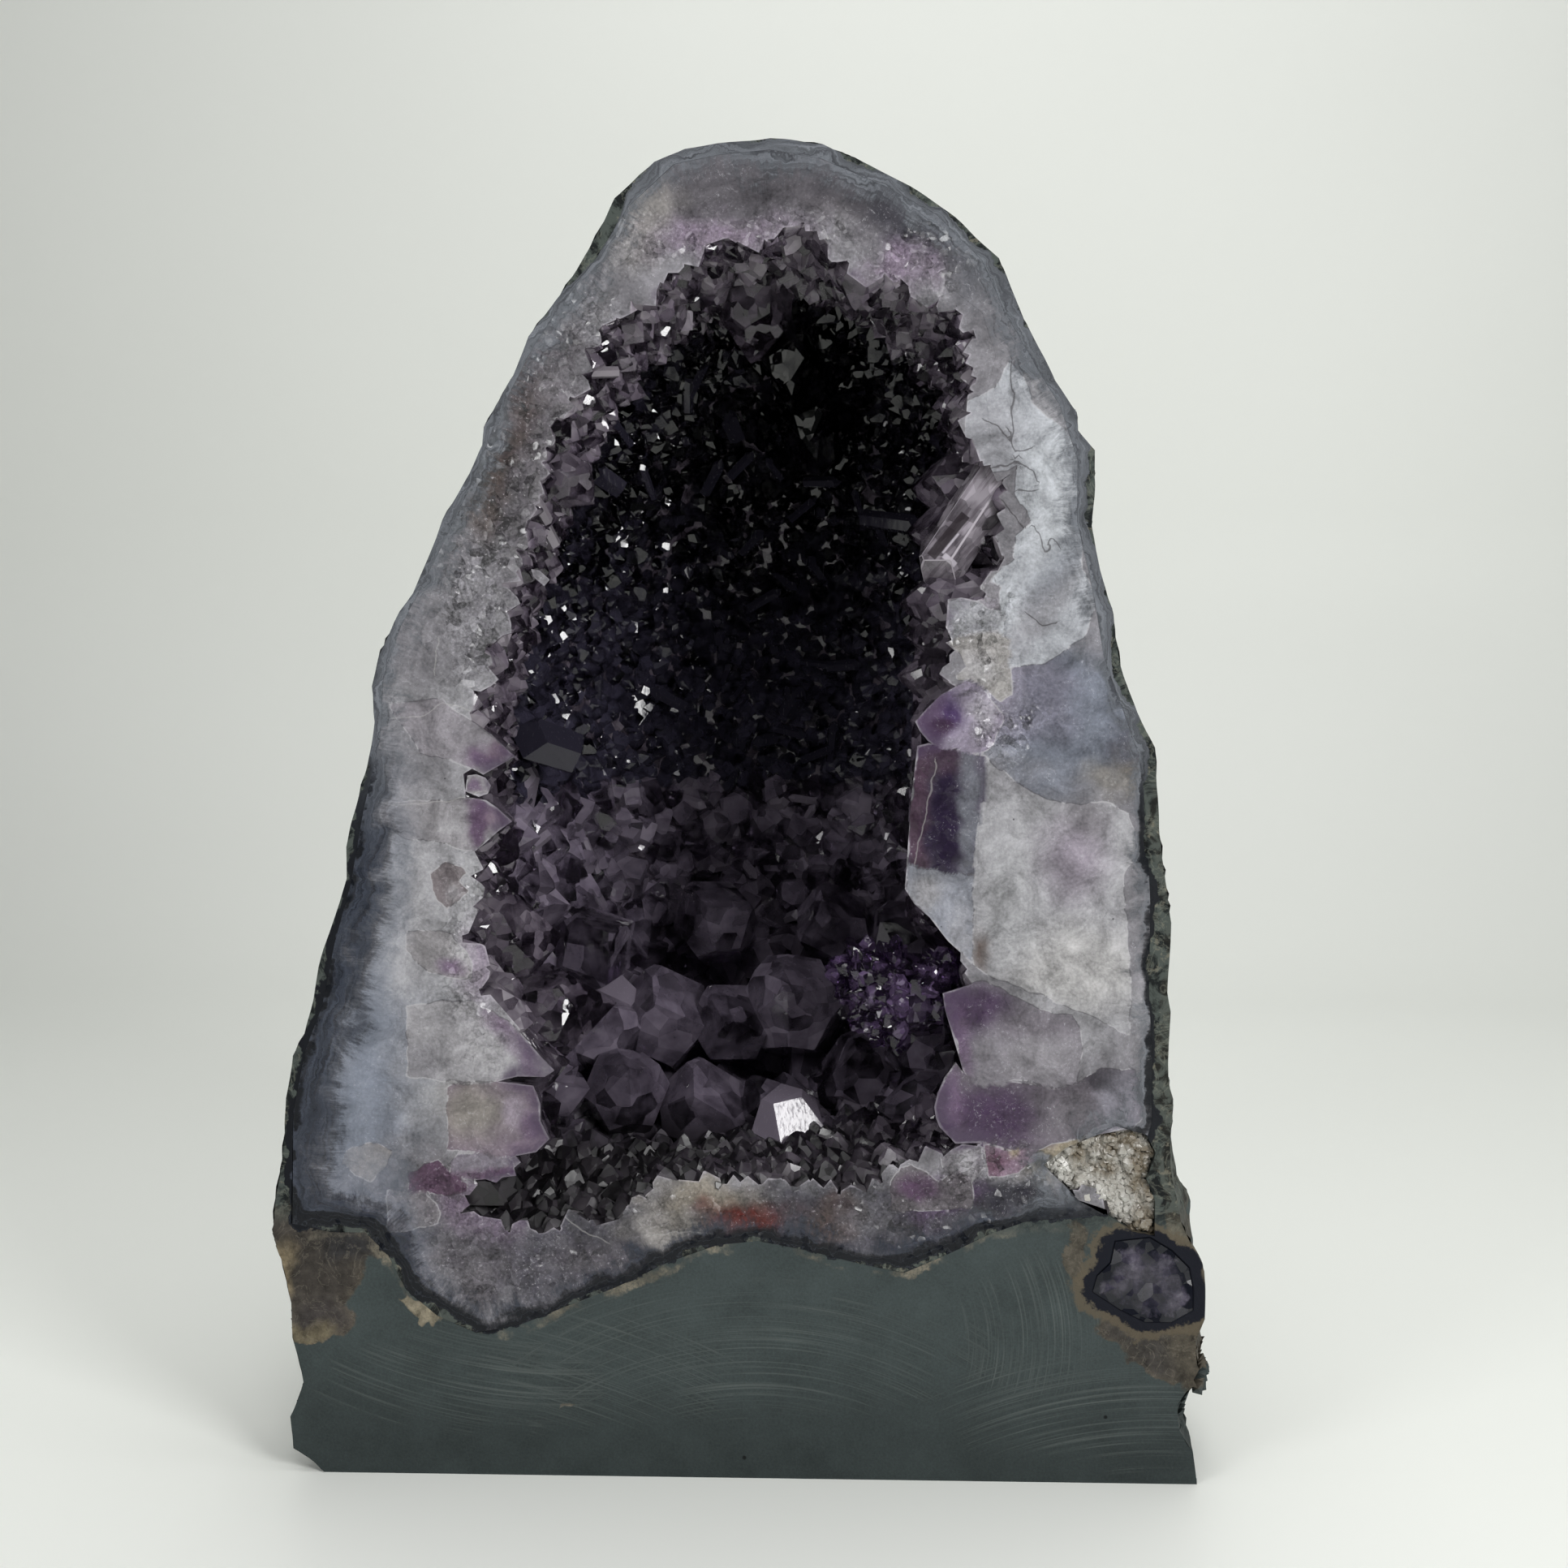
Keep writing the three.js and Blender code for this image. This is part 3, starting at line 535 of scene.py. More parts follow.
SLABS = (
    Slab(((59, 251), (56, 245), (50, 242), (49, 231), (50, 225), (61, 228), (60, 222), (62.5, 219),
          (64, 216), (60.5, 213), (60.3, 208), (57.5, 206), (55, 203), (57.3, 202), (57.3, 196.8),
          (59, 195), (57, 192), (59.5, 190), (60, 184), (67.5, 185), (75.5, 190.5), (78, 197),
          (78, 201), (75, 205.5), (75, 212), (75, 223), (75, 231), (71, 236), (67, 239), (64, 242),
          (62, 248)), FROST,
         (((54, 234), (7, 10), GREY, 0.6, 0.6), ((69, 222), (7, 14), srgb(178, 181, 186), 0.7, 0.6),
          ((66, 196), (3.5, 12), GREY, 0.7, 0.7, -40), ((70, 206), (3, 9), BLUE_GREY, 0.35, 0.8, -35))),
    Slab(((46, 199), (49, 199.4), (53, 198.6), (54, 197.2), (57.3, 196.8), (59, 195), (57, 192.3),
          (50, 191.5), (47, 190), (45.6, 193)), srgb(136, 136, 141), (), 10),
    Slab(((45.6, 189.5), (50, 191.3), (57, 192), (59.5, 190), (60, 184), (60, 178), (57.5, 176.5),
          (54, 179.5), (51, 181.6), (48.5, 181), (48.2, 182.5), (50, 184.5), (48.5, 187)),
         srgb(138, 135, 134), (((52, 184), (4, 3), PALE, 0.6, 0.7),), 10),
    Slab(((39, 172.2), (41.5, 175), (44.5, 178), (48, 180), (50, 181), (52.5, 180.7), (55, 177.5),
          (58.5, 173.3), (57.5, 170.5), (56, 167.5), (53.8, 165.5), (51.5, 165.2), (48, 166.2),
          (45, 166), (41.8, 168), (40, 170.2)), srgb(134, 126, 142),
         (((42, 173), (4, 5), MAUVE, 0.8, 0.5), ((46.3, 174.6), (2.6, 4.4), srgb(72, 54, 92), 0.95, 0.7),
          ((44.3, 171.3), (3.2, 1.9), srgb(54, 37, 56), 0.9, 0.6), ((54, 174), (3, 5), PALE, 0.5, 0.6)), 9),
    Slab(((54.5, 164.5), (53.9, 155), (52.4, 145.4), (52, 139), (51.8, 121), (52.5, 118), (56, 115.5),
          (63, 113), (70, 110), (78, 107), (87, 102), (87, 113), (86, 125), (85, 138), (88, 145),
          (86, 152), (80, 155), (75, 154), (68, 155), (61, 159)), MILK,
         (((74, 142), (7, 9), LILAC, 0.5, 0.7), ((75, 117), (14, 9), srgb(176, 174, 174), 0.8, 0.6),
          ((60, 130), (5, 12), srgb(166, 166, 169), 0.6, 0.7), ((64, 160), (9, 3.5), GREY, 0.7, 0.7),
          ((78, 151), (5, 4), DULL, 0.6, 0.6), ((53.5, 121), (2, 4), BROWN, 0.8, 0.7)), 10),
    # The tall crystal's receding side, drawn flat on the face: its dark violet middle is partly its own colour, partly
    # painted shade, and the lighter strips at its left and right edges are painted highlights.
    Slab(((39.5, 166.7), (42, 167.3), (48, 166), (52, 165), (55, 164.3), (53.9, 155), (52.4, 145.4),
          (52, 138.6), (47, 138.5), (42.3, 139.3), (37.3, 140.9), (38.2, 155)), srgb(92, 88, 101),
         (((39.5, 152), (3.0, 22), srgb(78, 60, 75), 1.0, 0.4), ((45.3, 150), (3.8, 20), srgb(40, 31, 52), 1.0, 0.5),
          ((43, 164), (8, 3), srgb(76, 60, 74), 0.8, 0.6), ((51, 152), (2.2, 17), srgb(108, 110, 118), 0.8, 0.5)), 18),
    Slab(((37.3, 140.7), (42.3, 139.1), (47, 138.3), (52, 138.4), (51.8, 118.6), (46.4, 123.5),
          (42.3, 128.8), (39, 131.7), (36.9, 135)), srgb(128, 130, 139),
         (((41.5, 134), (4, 4), PALE, 0.8, 0.6), ((49, 125), (3, 6), PALE, 0.4, 0.6)), 10),
    Slab(((45.5, 111.5), (46, 108), (47.5, 103), (49, 98), (50, 94.5), (51.5, 92), (54, 90.8), (58, 90.5),
          (60, 92), (65, 92), (68, 91), (71, 90.5), (75, 92), (76, 95), (76.5, 100), (76, 104), (74, 107),
          (70, 107.5), (66, 108.8), (60, 111.5), (55, 114.7)), srgb(122, 118, 125),
         (((51.5, 108.5), (9, 6), PLUM, 0.95, 0.55), ((49, 101), (2.5, 8), MAUVE, 0.8, 0.6, 12),
          ((68, 97), (8, 5), srgb(136, 133, 138), 0.7, 0.7), ((66, 105), (8, 3), srgb(104, 98, 106), 0.6, 0.6)), 12),
    Slab(((48.5, 96), (46, 92.5), (44.5, 89), (43.8, 86), (44.2, 83.5), (45, 81.5), (47, 79.5), (48.5, 77.8),
          (54, 78), (60, 76.5), (65, 76), (70, 77.5), (76, 79.3), (82, 80.5), (88, 81.5), (90, 84), (90, 90),
          (88, 95), (80, 95), (76, 92), (70, 90.3), (60, 91.8), (54, 90.8), (50, 94)), srgb(98, 92, 100),
         (((56, 84), (11, 7), PLUM, 0.95, 0.5), ((47.5, 88), (2.6, 7), MAUVE, 0.7, 0.6),
          ((74, 84), (6, 5), srgb(110, 106, 112), 0.7, 0.7), ((85, 87), (5, 7), srgb(130, 128, 138), 0.9, 0.6),
          ((80, 93), (4, 2.5), DUSK, 0.7, 0.6)), 12),
    Slab(((45.2, 74.2), (47.5, 76.3), (50, 77.6), (54, 77), (54.7, 72), (53, 70), (48, 70.3), (46, 71.5)),
         srgb(120, 116, 122), (((51, 73), (2, 3), PALE, 0.6, 0.8),), 8),
    Slab(((54.5, 77.6), (60, 76.3), (66, 76.3), (67, 74), (62, 71), (56, 70)), ROSE,
         (((57.5, 73.3), (3, 2), srgb(86, 58, 74), 0.8, 0.6), ((61, 76), (1.2, 1.8), OCHRE, 0.8, 0.6))),
    Slab(((34, 69), (36, 72), (38.5, 72.8), (41, 71.5), (43.2, 70), (45, 69), (46.5, 70.3), (49, 71.4),
          (51, 70.6), (52.5, 68.5), (52.5, 63), (34, 62)), srgb(96, 91, 96),
         (((39.5, 67.5), (5, 2.4), srgb(74, 54, 76), 0.9, 0.6),), 8),
    Slab(((-75, 108), (-66, 109.5), (-60, 109.2), (-55, 106.8), (-52.5, 105.3), (-50, 103), (-45, 97),
          (-41.8, 93.7), (-44, 92.2), (-50, 92.3), (-55, 91), (-64, 91), (-75, 92)), srgb(146, 144, 148),
         (((-50.5, 99.5), (2.2, 9), MAUVE, 0.85, 0.6, 36), ((-60, 97), (9, 6), PALE, 0.7, 0.7),
          ((-72, 95), (5, 5), srgb(104, 102, 108), 0.6, 0.7), ((-55, 104), (3, 2), LILAC, 0.6, 0.7)), 14),
    Slab(((-66, 90), (-55, 91), (-46.5, 90), (-45, 86), (-45, 82), (-43, 78), (-46, 75), (-50, 74.2),
          (-54, 73.6), (-60, 75), (-66, 75.5)), srgb(114, 103, 113),
         (((-60, 84), (7, 6), srgb(130, 125, 120), 0.9, 0.6), ((-51, 84), (2.6, 3.5), srgb(140, 130, 142), 0.8, 0.6),
          ((-47, 80.5), (3, 2.6), MAUVE, 0.7, 0.6), ((-48, 76.6), (5, 1.6), srgb(146, 130, 144), 0.9, 0.4, 20)), 12),
    Slab(((-65.5, 72.5), (-63.5, 74.6), (-58, 74.5), (-53, 73.5), (-51.5, 73), (-50.6, 69.5), (-54, 69),
          (-61.5, 68.2), (-65, 70)), srgb(120, 114, 124), (((-57, 69.8), (8, 1.2), srgb(90, 68, 90), 0.9, 0.5),), 10),
    Slab(((-75, 70), (-68, 73), (-65, 70), (-61.8, 67.5), (-61.8, 65.2), (-66, 64.8), (-70, 65.2), (-75, 66)),
         srgb(84, 64, 82), (), 8),
    Slab(((-80, 66), (-72, 65.5), (-69, 63), (-67.8, 61), (-68.5, 58.5), (-70.5, 57.5), (-80, 56)),
         srgb(108, 104, 109), (), 8),
    Slab(((-90, 72), (-89, 75), (-84, 77), (-78, 75), (-80, 71), (-83.7, 67.9), (-87, 69)), srgb(130, 126, 127)),
    Slab(((-78, 176), (-66, 177), (-60, 172.5), (-55, 169), (-50, 164.3), (-54, 162), (-57, 160.3), (-62, 163),
          (-67, 164), (-71, 165)), srgb(138, 134, 140),
         (((-57.5, 163.8), (3.6, 2.4), srgb(90, 70, 94), 0.85, 0.6), ((-53.5, 165.5), (2.4, 2), ROSE, 0.8, 0.6)), 10),
    Slab(((-58.5, 160.3), (-56.5, 159.5), (-55.3, 157.8), (-56, 156), (-58, 155.3), (-61, 156.5), (-60.5, 160)),
         srgb(142, 140, 142), (((-59, 157.7), (1.8, 1.6), MAUVE, 0.8, 0.6),), 9),
    Slab(((-80, 154), (-66, 154.5), (-60, 155), (-56.5, 154.5), (-54, 152.8), (-50.8, 149.8), (-54, 147.5),
          (-57, 144.8), (-59, 143.2), (-62, 143.4), (-66, 145), (-75, 146), (-80, 149)), srgb(138, 135, 139),
         (((-58.3, 149.5), (2.4, 6), srgb(86, 64, 90), 0.9, 0.6), ((-54.5, 151), (2.5, 2.5), ROSE, 0.8, 0.6),
          ((-64, 149), (3, 2), PALE, 0.7, 0.7)), 12),
    Slab(((-66, 140.5), (-62, 139.8), (-61, 138), (-62.5, 136.5), (-61.8, 135.5), (-60.6, 133.8), (-62.5, 132),
          (-65, 130.2), (-68, 132), (-69, 138)), srgb(110, 103, 106), (((-64, 134), (2, 2), PALE, 0.5, 0.7),), 9),
    Slab(((-75, 125), (-70, 125.4), (-65, 124.8), (-63, 122.5), (-61, 120), (-60, 117.5), (-60.2, 114),
          (-64, 114.5), (-70, 116), (-75, 121)), srgb(138, 135, 138),
         (((-64, 117), (2.6, 2), MAUVE, 0.8, 0.7), ((-63, 121.5), (1.6, 4), PALE, 0.8, 0.5, 40)), 9),
)
CRACKS = (
    Crack(((59.3, 251), (59.9, 242), (59.6, 236), (59.5, 233), (60.8, 230), (60.8, 228))),
    Crack(((54, 238), (57, 236.5), (59.5, 233))), Crack(((60.7, 231), (63.9, 232))),
    Crack(((50, 226), (56, 227.5), (60.8, 229), (64.5, 226.4), (65.2, 225))),
    Crack(((60.8, 222.5), (65, 222.8))),
    Crack(((64, 215), (66, 212.5), (67.3, 209.5), (68.2, 210), (67.8, 212), (68.7, 212.4), (70.3, 210))),
    Crack(((56.4, 221.5), (59.4, 218.5), (62, 215))), Crack(((63, 196), (67, 193), (70, 194))),
    Crack(((-82.3, 176), (-77.8, 172.7), (-70.5, 173.3), (-65.4, 176.2), (-60.5, 175)), False),
    Crack(((-85.7, 154.6), (-79.9, 153.7), (-72.6, 153.4), (-63.5, 154.7), (-56.2, 156.5)), False),
    # The light line from (43.6, 163.5) down to (38.8, 141) runs along the tall crystal's left edge: a painted
    # highlight.
    Crack(((-66.6, 190), (-67.5, 183)), False), Crack(((43.6, 163.5), (42.1, 155), (40.5, 148), (38.8, 141)), False),
    Crack(((-40, 60), (-30, 54)), False), Crack(((-20, 56), (-12, 57), (-6, 56.5)), False),
)


def warped(points: np.ndarray, size: float, amount: float) -> np.ndarray:
    """Points across and up in millimetres, pushed about by noise of that size."""
    # Without a seed the noise takes its offsets from the clock.
    noise.seed_set(7)
    pushes = np.array([
        noise.noise_vector((x / size, z / size, 0.0)) + 0.45 * noise.noise_vector(
            (3 * x / size, 3 * z / size, 5.0)
        ) for x, z in points
    ])
    return points + amount * pushes[:, :2]


def painted(points: np.ndarray, base: tuple, patches: tuple) -> np.ndarray:
    """The colour of each point after every patch is laid over the one before."""
    colours = np.tile(np.array(base), (len(points), 1))
    for patch in patches:
        share = patch.share(points)[:, None]
        colours = colours * (1 - share) + np.array(patch.colour) * share
    return colours


def most(points: np.ndarray, patches: tuple) -> np.ndarray:
    """The greatest share of any of the patches at each point."""
    return np.max([patch.share(points) for patch in patches], axis=0)


def from_segments(points: np.ndarray, corners: np.ndarray) -> tuple[np.ndarray, np.ndarray]:
    """The distance from each point to a line through corners, and on which side it lies."""
    best = np.full(len(points), np.inf)
    side = np.ones(len(points))
    for first, last in zip(corners[:-1], corners[1:]):
        run = last - first
        away = points - first
        share = np.clip(away @ run / (run @ run), 0, 1)
        distance = np.linalg.norm(away - share[:, None] * run, axis=1)
        nearer = distance < best
        best = np.where(nearer, distance, best)
        side = np.where(nearer, np.sign(run[0] * away[:, 1] - run[1] * away[:, 0]), side)
    return best, side


def inside_slabs(points: np.ndarray) -> tuple[np.ndarray, np.ndarray]:
    """How deep each point lies inside a slab in mm, or how far outside as a minus, and in which."""
    deepest = np.full(len(points), -99.0)
    which = np.zeros(len(points), int)
    for number, slab in enumerate(SLABS):
        corners = np.array(slab.outline + slab.outline[:1], float)
        distance, _ = from_segments(points, corners)
        odd = np.zeros(len(points), bool)
        for (x0, z0), (x1, z1) in zip(corners[:-1], corners[1:]):
            crosses = (z0 > points[:, 1]) != (z1 > points[:, 1])
            at = x0 + (x1 - x0) * (points[:, 1] - z0) / (z1 - z0 if z1 != z0 else 1.0)
            odd ^= crosses & (points[:, 0] < at)
        depth = np.where(odd, distance, -distance)
        which = np.where(depth > deepest, number, which)
        deepest = np.maximum(deepest, depth)
    return deepest, which


def slab_colours(points: np.ndarray, which: np.ndarray) -> np.ndarray:
    """The colour of each point as a place on its own slab."""
    colours = np.empty((len(points), 4))
    for number, slab in enumerate(SLABS):
        mine = which == number
        patches = tuple(Patch(*row) for row in slab.patches)
        colours[mine] = painted(points[mine], slab.colour, patches)
    return colours


def paint_sawn_face(piece: bpy.types.Object, depth: float) -> None:
    """Store what the materials read on the sawn face, for the points at that depth in metres."""
    places = vertices_of(piece)
    front = np.abs(places[:, 1] - depth) < FACE_TOLERANCE * MM
    points = places[front][:, [0, 2]] / MM
    rough = warped(points, 9.0, 5.0)
    slab, which = inside_slabs(warped(points, 3.0, 0.6))
    values = {
        "quartz": painted(rough, GREY, SAWN_PATCHES),
        "slab_quartz": slab_colours(warped(points, 5.0, 1.6), which),
        "slab": slab,
        "sugar": most(rough, SUGAR_PATCHES),
        "violet": most(rough, VIOLET_PATCHES),
    }
    nearest_crack = np.full(len(points), np.inf)
    crack = np.zeros((len(points), 3))
    for item in CRACKS:
        distance, side = from_segments(warped(points, 3.0, 0.7), np.array(item.points, float))
        nearer = distance < nearest_crack
        nearest_crack = np.where(nearer, distance, nearest_crack)
        row = np.stack([distance * side, distance, np.full(len(points), float(item.dark))], axis=1)
        crack = np.where(nearer[:, None], row, crack)
    values["crack"] = crack
    for name, found in values.items():
        whole = np.zeros((len(places),) + found.shape[1:])
        whole[front] = found
        set_attribute(piece, name, whole, "POINT")


def sawn_quartz(s: Shader) -> tuple:
    """The colour and the relief of quartz where the saw has cut it.

    Args:
        s: the material that the nodes go into.

    Returns:
        The colour, the cloudy noise in it and the relief's height in metres.
    """
    sugar = s.attribute("sugar")
    slab = s.attribute("slab")
    cloud = s.noise(9, detail=4, rough=0.7, distortion=0.6)
    place = s.warp(5, 0.9)
    share, tilted = s.facets(1.7, place)
    grain = s.noise(0.7, detail=2, rough=0.6)
    colour = s.mix(s.between(slab, -0.15, 0.15), s.attribute("quartz", "Color"),
                   s.attribute("slab_quartz", "Color"))
    light = s.sum(1.0, (s.about(cloud, 2.4), 1.0), (s.about(grain, 0.7), 1.0))
    spread = s.math("ADD", 0.14, s.math("MULTIPLY", sugar, 0.9))
    light = s.sum(light, (s.about(share, 1.0), spread), (s.about(grain, 1.4), sugar))
    colour = s.shaded(colour, s.math("MAXIMUM", light, 0.25))
    wisp = s.about(s.noise(5, detail=3, rough=0.6, distortion=2.2), 1.0)
    wisps = s.between(s.math("ABSOLUTE", wisp), 0.0, 0.012, 0.36, 0.0)
    wisps = s.math("MULTIPLY", wisps, s.between(grain, 0.46, 0.56))
    colour = s.mix(s.math("MULTIPLY", wisps, s.between(cloud, 0.40, 0.58)), colour, srgb(206, 206, 212))
    dots = s.between(s.cells(7), 0.02, 0.04, 0.8, 0.0)
    colour = s.mix(dots, colour, srgb(44, 42, 46))
    edge = s.between(s.math("ABSOLUTE", slab), 0.04, 0.24, 0.5, 0.0)
    edge_tone = s.mix(s.between(cloud, 0.46, 0.54), srgb(58, 54, 60), srgb(190, 188, 192))
    colour = s.mix(edge, colour, edge_tone)
    crack = s.add("ShaderNodeSeparateXYZ", {0: s.attribute("crack", "Vector")})
    line = s.between(s.math("ABSOLUTE", crack.outputs[0]), 0.05, 0.26, 1.0, 0.0)
    line = s.math("MULTIPLY", line, s.between(crack.outputs[1], 0.7, 1.0, 1.0, 0.0))
    dark = crack.outputs[2]
    tone = s.mix(dark, srgb(188, 186, 184), srgb(52, 46, 48))
    line = s.math("MULTIPLY", line, s.math("ADD", 0.30, s.math("MULTIPLY", dark, 0.36)))
    colour = s.mix(line, colour, tone)
    sparks = s.math("MULTIPLY", s.between(grain, 0.66, 0.74), s.math("MULTIPLY", sugar, 0.55))
    colour = s.mix(sparks, colour, srgb(214, 206, 214))
    relief = s.math("MULTIPLY", tilted, s.math("ADD", 0.12, sugar))
    return colour, cloud, relief


def contact(s: Shader):
    """The distance into the agate in millimetres, made wavy in the same way on both sides.

    Above the base the agate reaches a little way into the rock's sawn strip.
    """
    wave = s.about(s.noise(9, detail=5, rough=0.62), 9.0)
    up = s.split()[2]
    return s.sum(s.attribute("into_agate"), (wave, 1.0), (s.between(up, 56 * MM, 70 * MM), 1.6),
                 (s.between(up, 140 * MM, 185 * MM), 1.7))


def strip_rock(s: Shader):
    """The dark mottled rock of the thin strip round the agate."""
    mottle = s.noise(5, detail=6, rough=0.68, distortion=0.8)
    colour = s.mix(s.between(mottle, 0.42, 0.56), srgb(13, 16, 17), srgb(74, 80, 76))
    vein = s.math("ABSOLUTE", s.about(s.noise(8, detail=5, rough=0.6, distortion=1.2), 1.0))
    colour = s.mix(s.between(vein, 0.0, 0.03, 0.3, 0.0), colour, srgb(132, 134, 122))
    pale = s.between(s.noise(2.0, detail=3, rough=0.6), 0.60, 0.70, 0.0, 0.6)
    return s.mix(pale, colour, srgb(124, 120, 106))


def banding(s: Shader, near) -> tuple:
    """The agate beside the rock: fine bands, and a dark line along the contact.

    Args:
        s: the material that the nodes go into.
        near: the distance into the agate in millimetres.

    Returns:
        The colour, and how far a place counts as the lower left and as the bottom.
    """
    across, _, up = s.split()
    left_low = s.math("MULTIPLY", s.between(across, -84 * MM, -60 * MM, 1.0, 0.0),
                      s.between(up, 140 * MM, 180 * MM, 1.0, 0.0))
    bottom = s.between(up, 58 * MM, 68 * MM, 1.0, 0.0)
    right = s.math("MULTIPLY", s.between(across, 70 * MM, 82 * MM), s.between(up, 150 * MM, 170 * MM, 1.0, 0.0))
    place = s.add("ShaderNodeCombineXYZ", {
        0: s.math("MULTIPLY", near, 3.4 * MM), 1: s.math("MULTIPLY", s.attribute("along"), 0.12 * MM),
    }).outputs[0]
    bands = s.noise(2.6, vector=place, detail=3, rough=0.7)
    dark_side = s.math("MAXIMUM", left_low, bottom)
    colour = s.mix(dark_side, srgb(100, 103, 109), srgb(54, 58, 68))
    colour = s.shaded(colour, s.sum(1.0, (s.about(bands, 3.2), 1.0)))
    contour = s.math("SINE", s.sum(s.math("MULTIPLY", near, 1.7), (s.noise(16, detail=3), 9.0)))
    colour = s.mix(s.between(contour, 0.88, 1.0, 0.0, 0.5), colour, srgb(52, 52, 58))
    reach = s.sum(1.0, (bottom, 2.2), (left_low, 1.2), (right, 1.4), (s.about(s.noise(14, detail=3), 4.0), 1.0))
    line = s.between(s.math("SUBTRACT", near, reach), -0.3, 0.4, 1.0, 0.0)
    line = s.math("MULTIPLY", line, s.sum(0.3, (s.math("MAXIMUM", dark_side, right), 0.65)))
    ripple = s.between(s.math("SINE", s.math("MULTIPLY", near, 5.0)), 0.86, 1.0, 0.0, 0.12)
    dark = s.mix(s.math("MULTIPLY", ripple, bottom), srgb(16, 18, 23), srgb(110, 116, 128))
    return s.mix(line, colour, dark), left_low, bottom


@dataclass(frozen=True)
class SawnBasalt:
    """Matt grey-green basalt with curved sanding marks, pits and weathered stains."""

    body: tuple = srgb(62, 70, 70)
    low: tuple = srgb(51, 58, 58)
    mark: tuple = srgb(112, 118, 115)

    def build(self) -> bpy.types.Material:
        """Make the material."""
        s = Shader("sawn_basalt")
        parts = s.add("ShaderNodeSeparateXYZ", {0: s.place})
        across, up = parts.outputs[0], parts.outputs[2]
        colour = s.mix(s.between(up, 4 * MM, 34 * MM), self.low, self.body)
        mottle = s.noise(12, detail=7, rough=0.7)
        grain = s.noise(0.6, detail=3, rough=0.7)
        colour = s.shaded(colour, s.sum(1.0, (s.about(mottle, 1.1), 1.0), (s.about(grain, 0.8), 1.0)))
        marks = None
        for middle, spacing, length, reach, seed in (
            ((4, -52), 0.5, 1.6, ((0, 30), (52, 17)), 0.0),
            ((-90, -150), 0.5, 2.5, ((-30, 24), (34, 14)), 5.0),
            ((-40, 140), 0.5, 2.2, ((-62, 22), (34, 12)), 3.0),
            ((24, 32), 0.55, 1.2, ((66, 36), (18, 18)), 7.0),
            ((96, -90), 0.5, 2.0, ((78, 17), (36, 13)), 11.0),
        ):
            streak = s.between(s.arcs(middle, spacing, length, seed), 0.46, 0.80)
            (x, z), (rx, rz) = reach
            moved = s.mapped(shift=(-x / rx, 0, -z / rz), scale=(1 / (rx * MM), 0, 1 / (rz * MM)))
            away = s.add("ShaderNodeVectorMath", {0: moved}, operation="LENGTH").outputs["Value"]
            away = s.sum(away, (s.about(mottle, 2.0), 1.0))
            streak = s.math("MULTIPLY", streak, s.between(away, 0.6, 1.1, 1.0, 0.0))
            marks = streak if marks is None else s.math("MAXIMUM", marks, streak)
        colour = s.mix(s.math("MULTIPLY", marks, 0.42), colour, self.mark)
        pits = s.between(s.cells(11), 0.025, 0.06, 1.0, 0.0)
        colour = s.mix(pits, colour, srgb(20, 22, 22))
        stains = s.attribute("stain", "Color")
        stained = s.attribute("stained")
        rubble = s.noise(2.4, detail=4, rough=0.75)
        stains = s.shaded(stains, s.sum(1.0, (s.about(rubble, 2.6), 1.0), (s.about(mottle, 2.0), 1.0)))
        vein = s.math("ABSOLUTE", s.about(s.noise(7, detail=4, rough=0.6, distortion=1.5), 1.0))
        stains = s.mix(s.between(vein, 0.0, 0.018, 0.16, 0.0), stains, srgb(158, 150, 136))
        colour = s.mix(s.between(s.sum(stained, (s.about(mottle, 1.6), 1.0)), 0.4, 0.62), colour, stains)
        near = contact(s)
        rim = s.between(up, 56 * MM, 64 * MM)
        colour = s.mix(s.math("MULTIPLY", rim, 0.92), colour, strip_rock(s))
        pocket = s.sum(s.attribute("from_pocket"), (s.about(mottle, 16.0), 1.0))
        colour = s.mix(s.between(pocket, 3.6, 4.8, 0.85, 0.0), colour, srgb(92, 84, 70))
        colour = s.mix(s.between(pocket, 1.6, 2.6, 1.0, 0.0), colour, srgb(20, 22, 31))
        low = s.between(up, 52 * MM, 60 * MM, 1.0, 0.0)
        beige = s.between(near, -2.6, -1.6)
        beige = s.math("MULTIPLY", beige, s.between(s.noise(13, detail=4), 0.46, 0.60))
        beige = s.math("MULTIPLY", s.math("MULTIPLY", beige, low), s.between(grain, 0.3, 0.6, 0.3, 0.9))
        colour = s.mix(beige, colour, s.mix(s.between(mottle, 0.4, 0.6), srgb(92, 88, 78), srgb(142, 134, 118)))
        colour = s.mix(s.between(near, -0.15, 0.15), colour, banding(s, near)[0])
        height = s.sum(s.math("MULTIPLY", grain, 0.6), (stained, s.about(rubble, 5.0)))
        s.surface({
            "Base Color": colour, "Roughness": 0.6, "Specular IOR Level": 0.16,
            "Normal": s.bump(height, 0.4, 0.15),
        })
        return s.material


# Where the rock reaches into the agate, as a depth in millimetres.
ROCK_REACH = (
    Patch((-36, 279), (7, 13), strength=8.0, soft=0.4, turn=-38),
    Patch((83, 212), (4, 16), strength=5.0, soft=0.5, turn=12),
    Patch((86, 186), (4, 8), strength=4.0, soft=0.5, turn=8),
    Patch((92, 150), (3, 10), strength=3.0, soft=0.5), Patch((93, 116), (3, 9), strength=4.0, soft=0.5),
    Patch((48, 283), (14, 4), strength=1.5, soft=0.5, turn=-35),
)
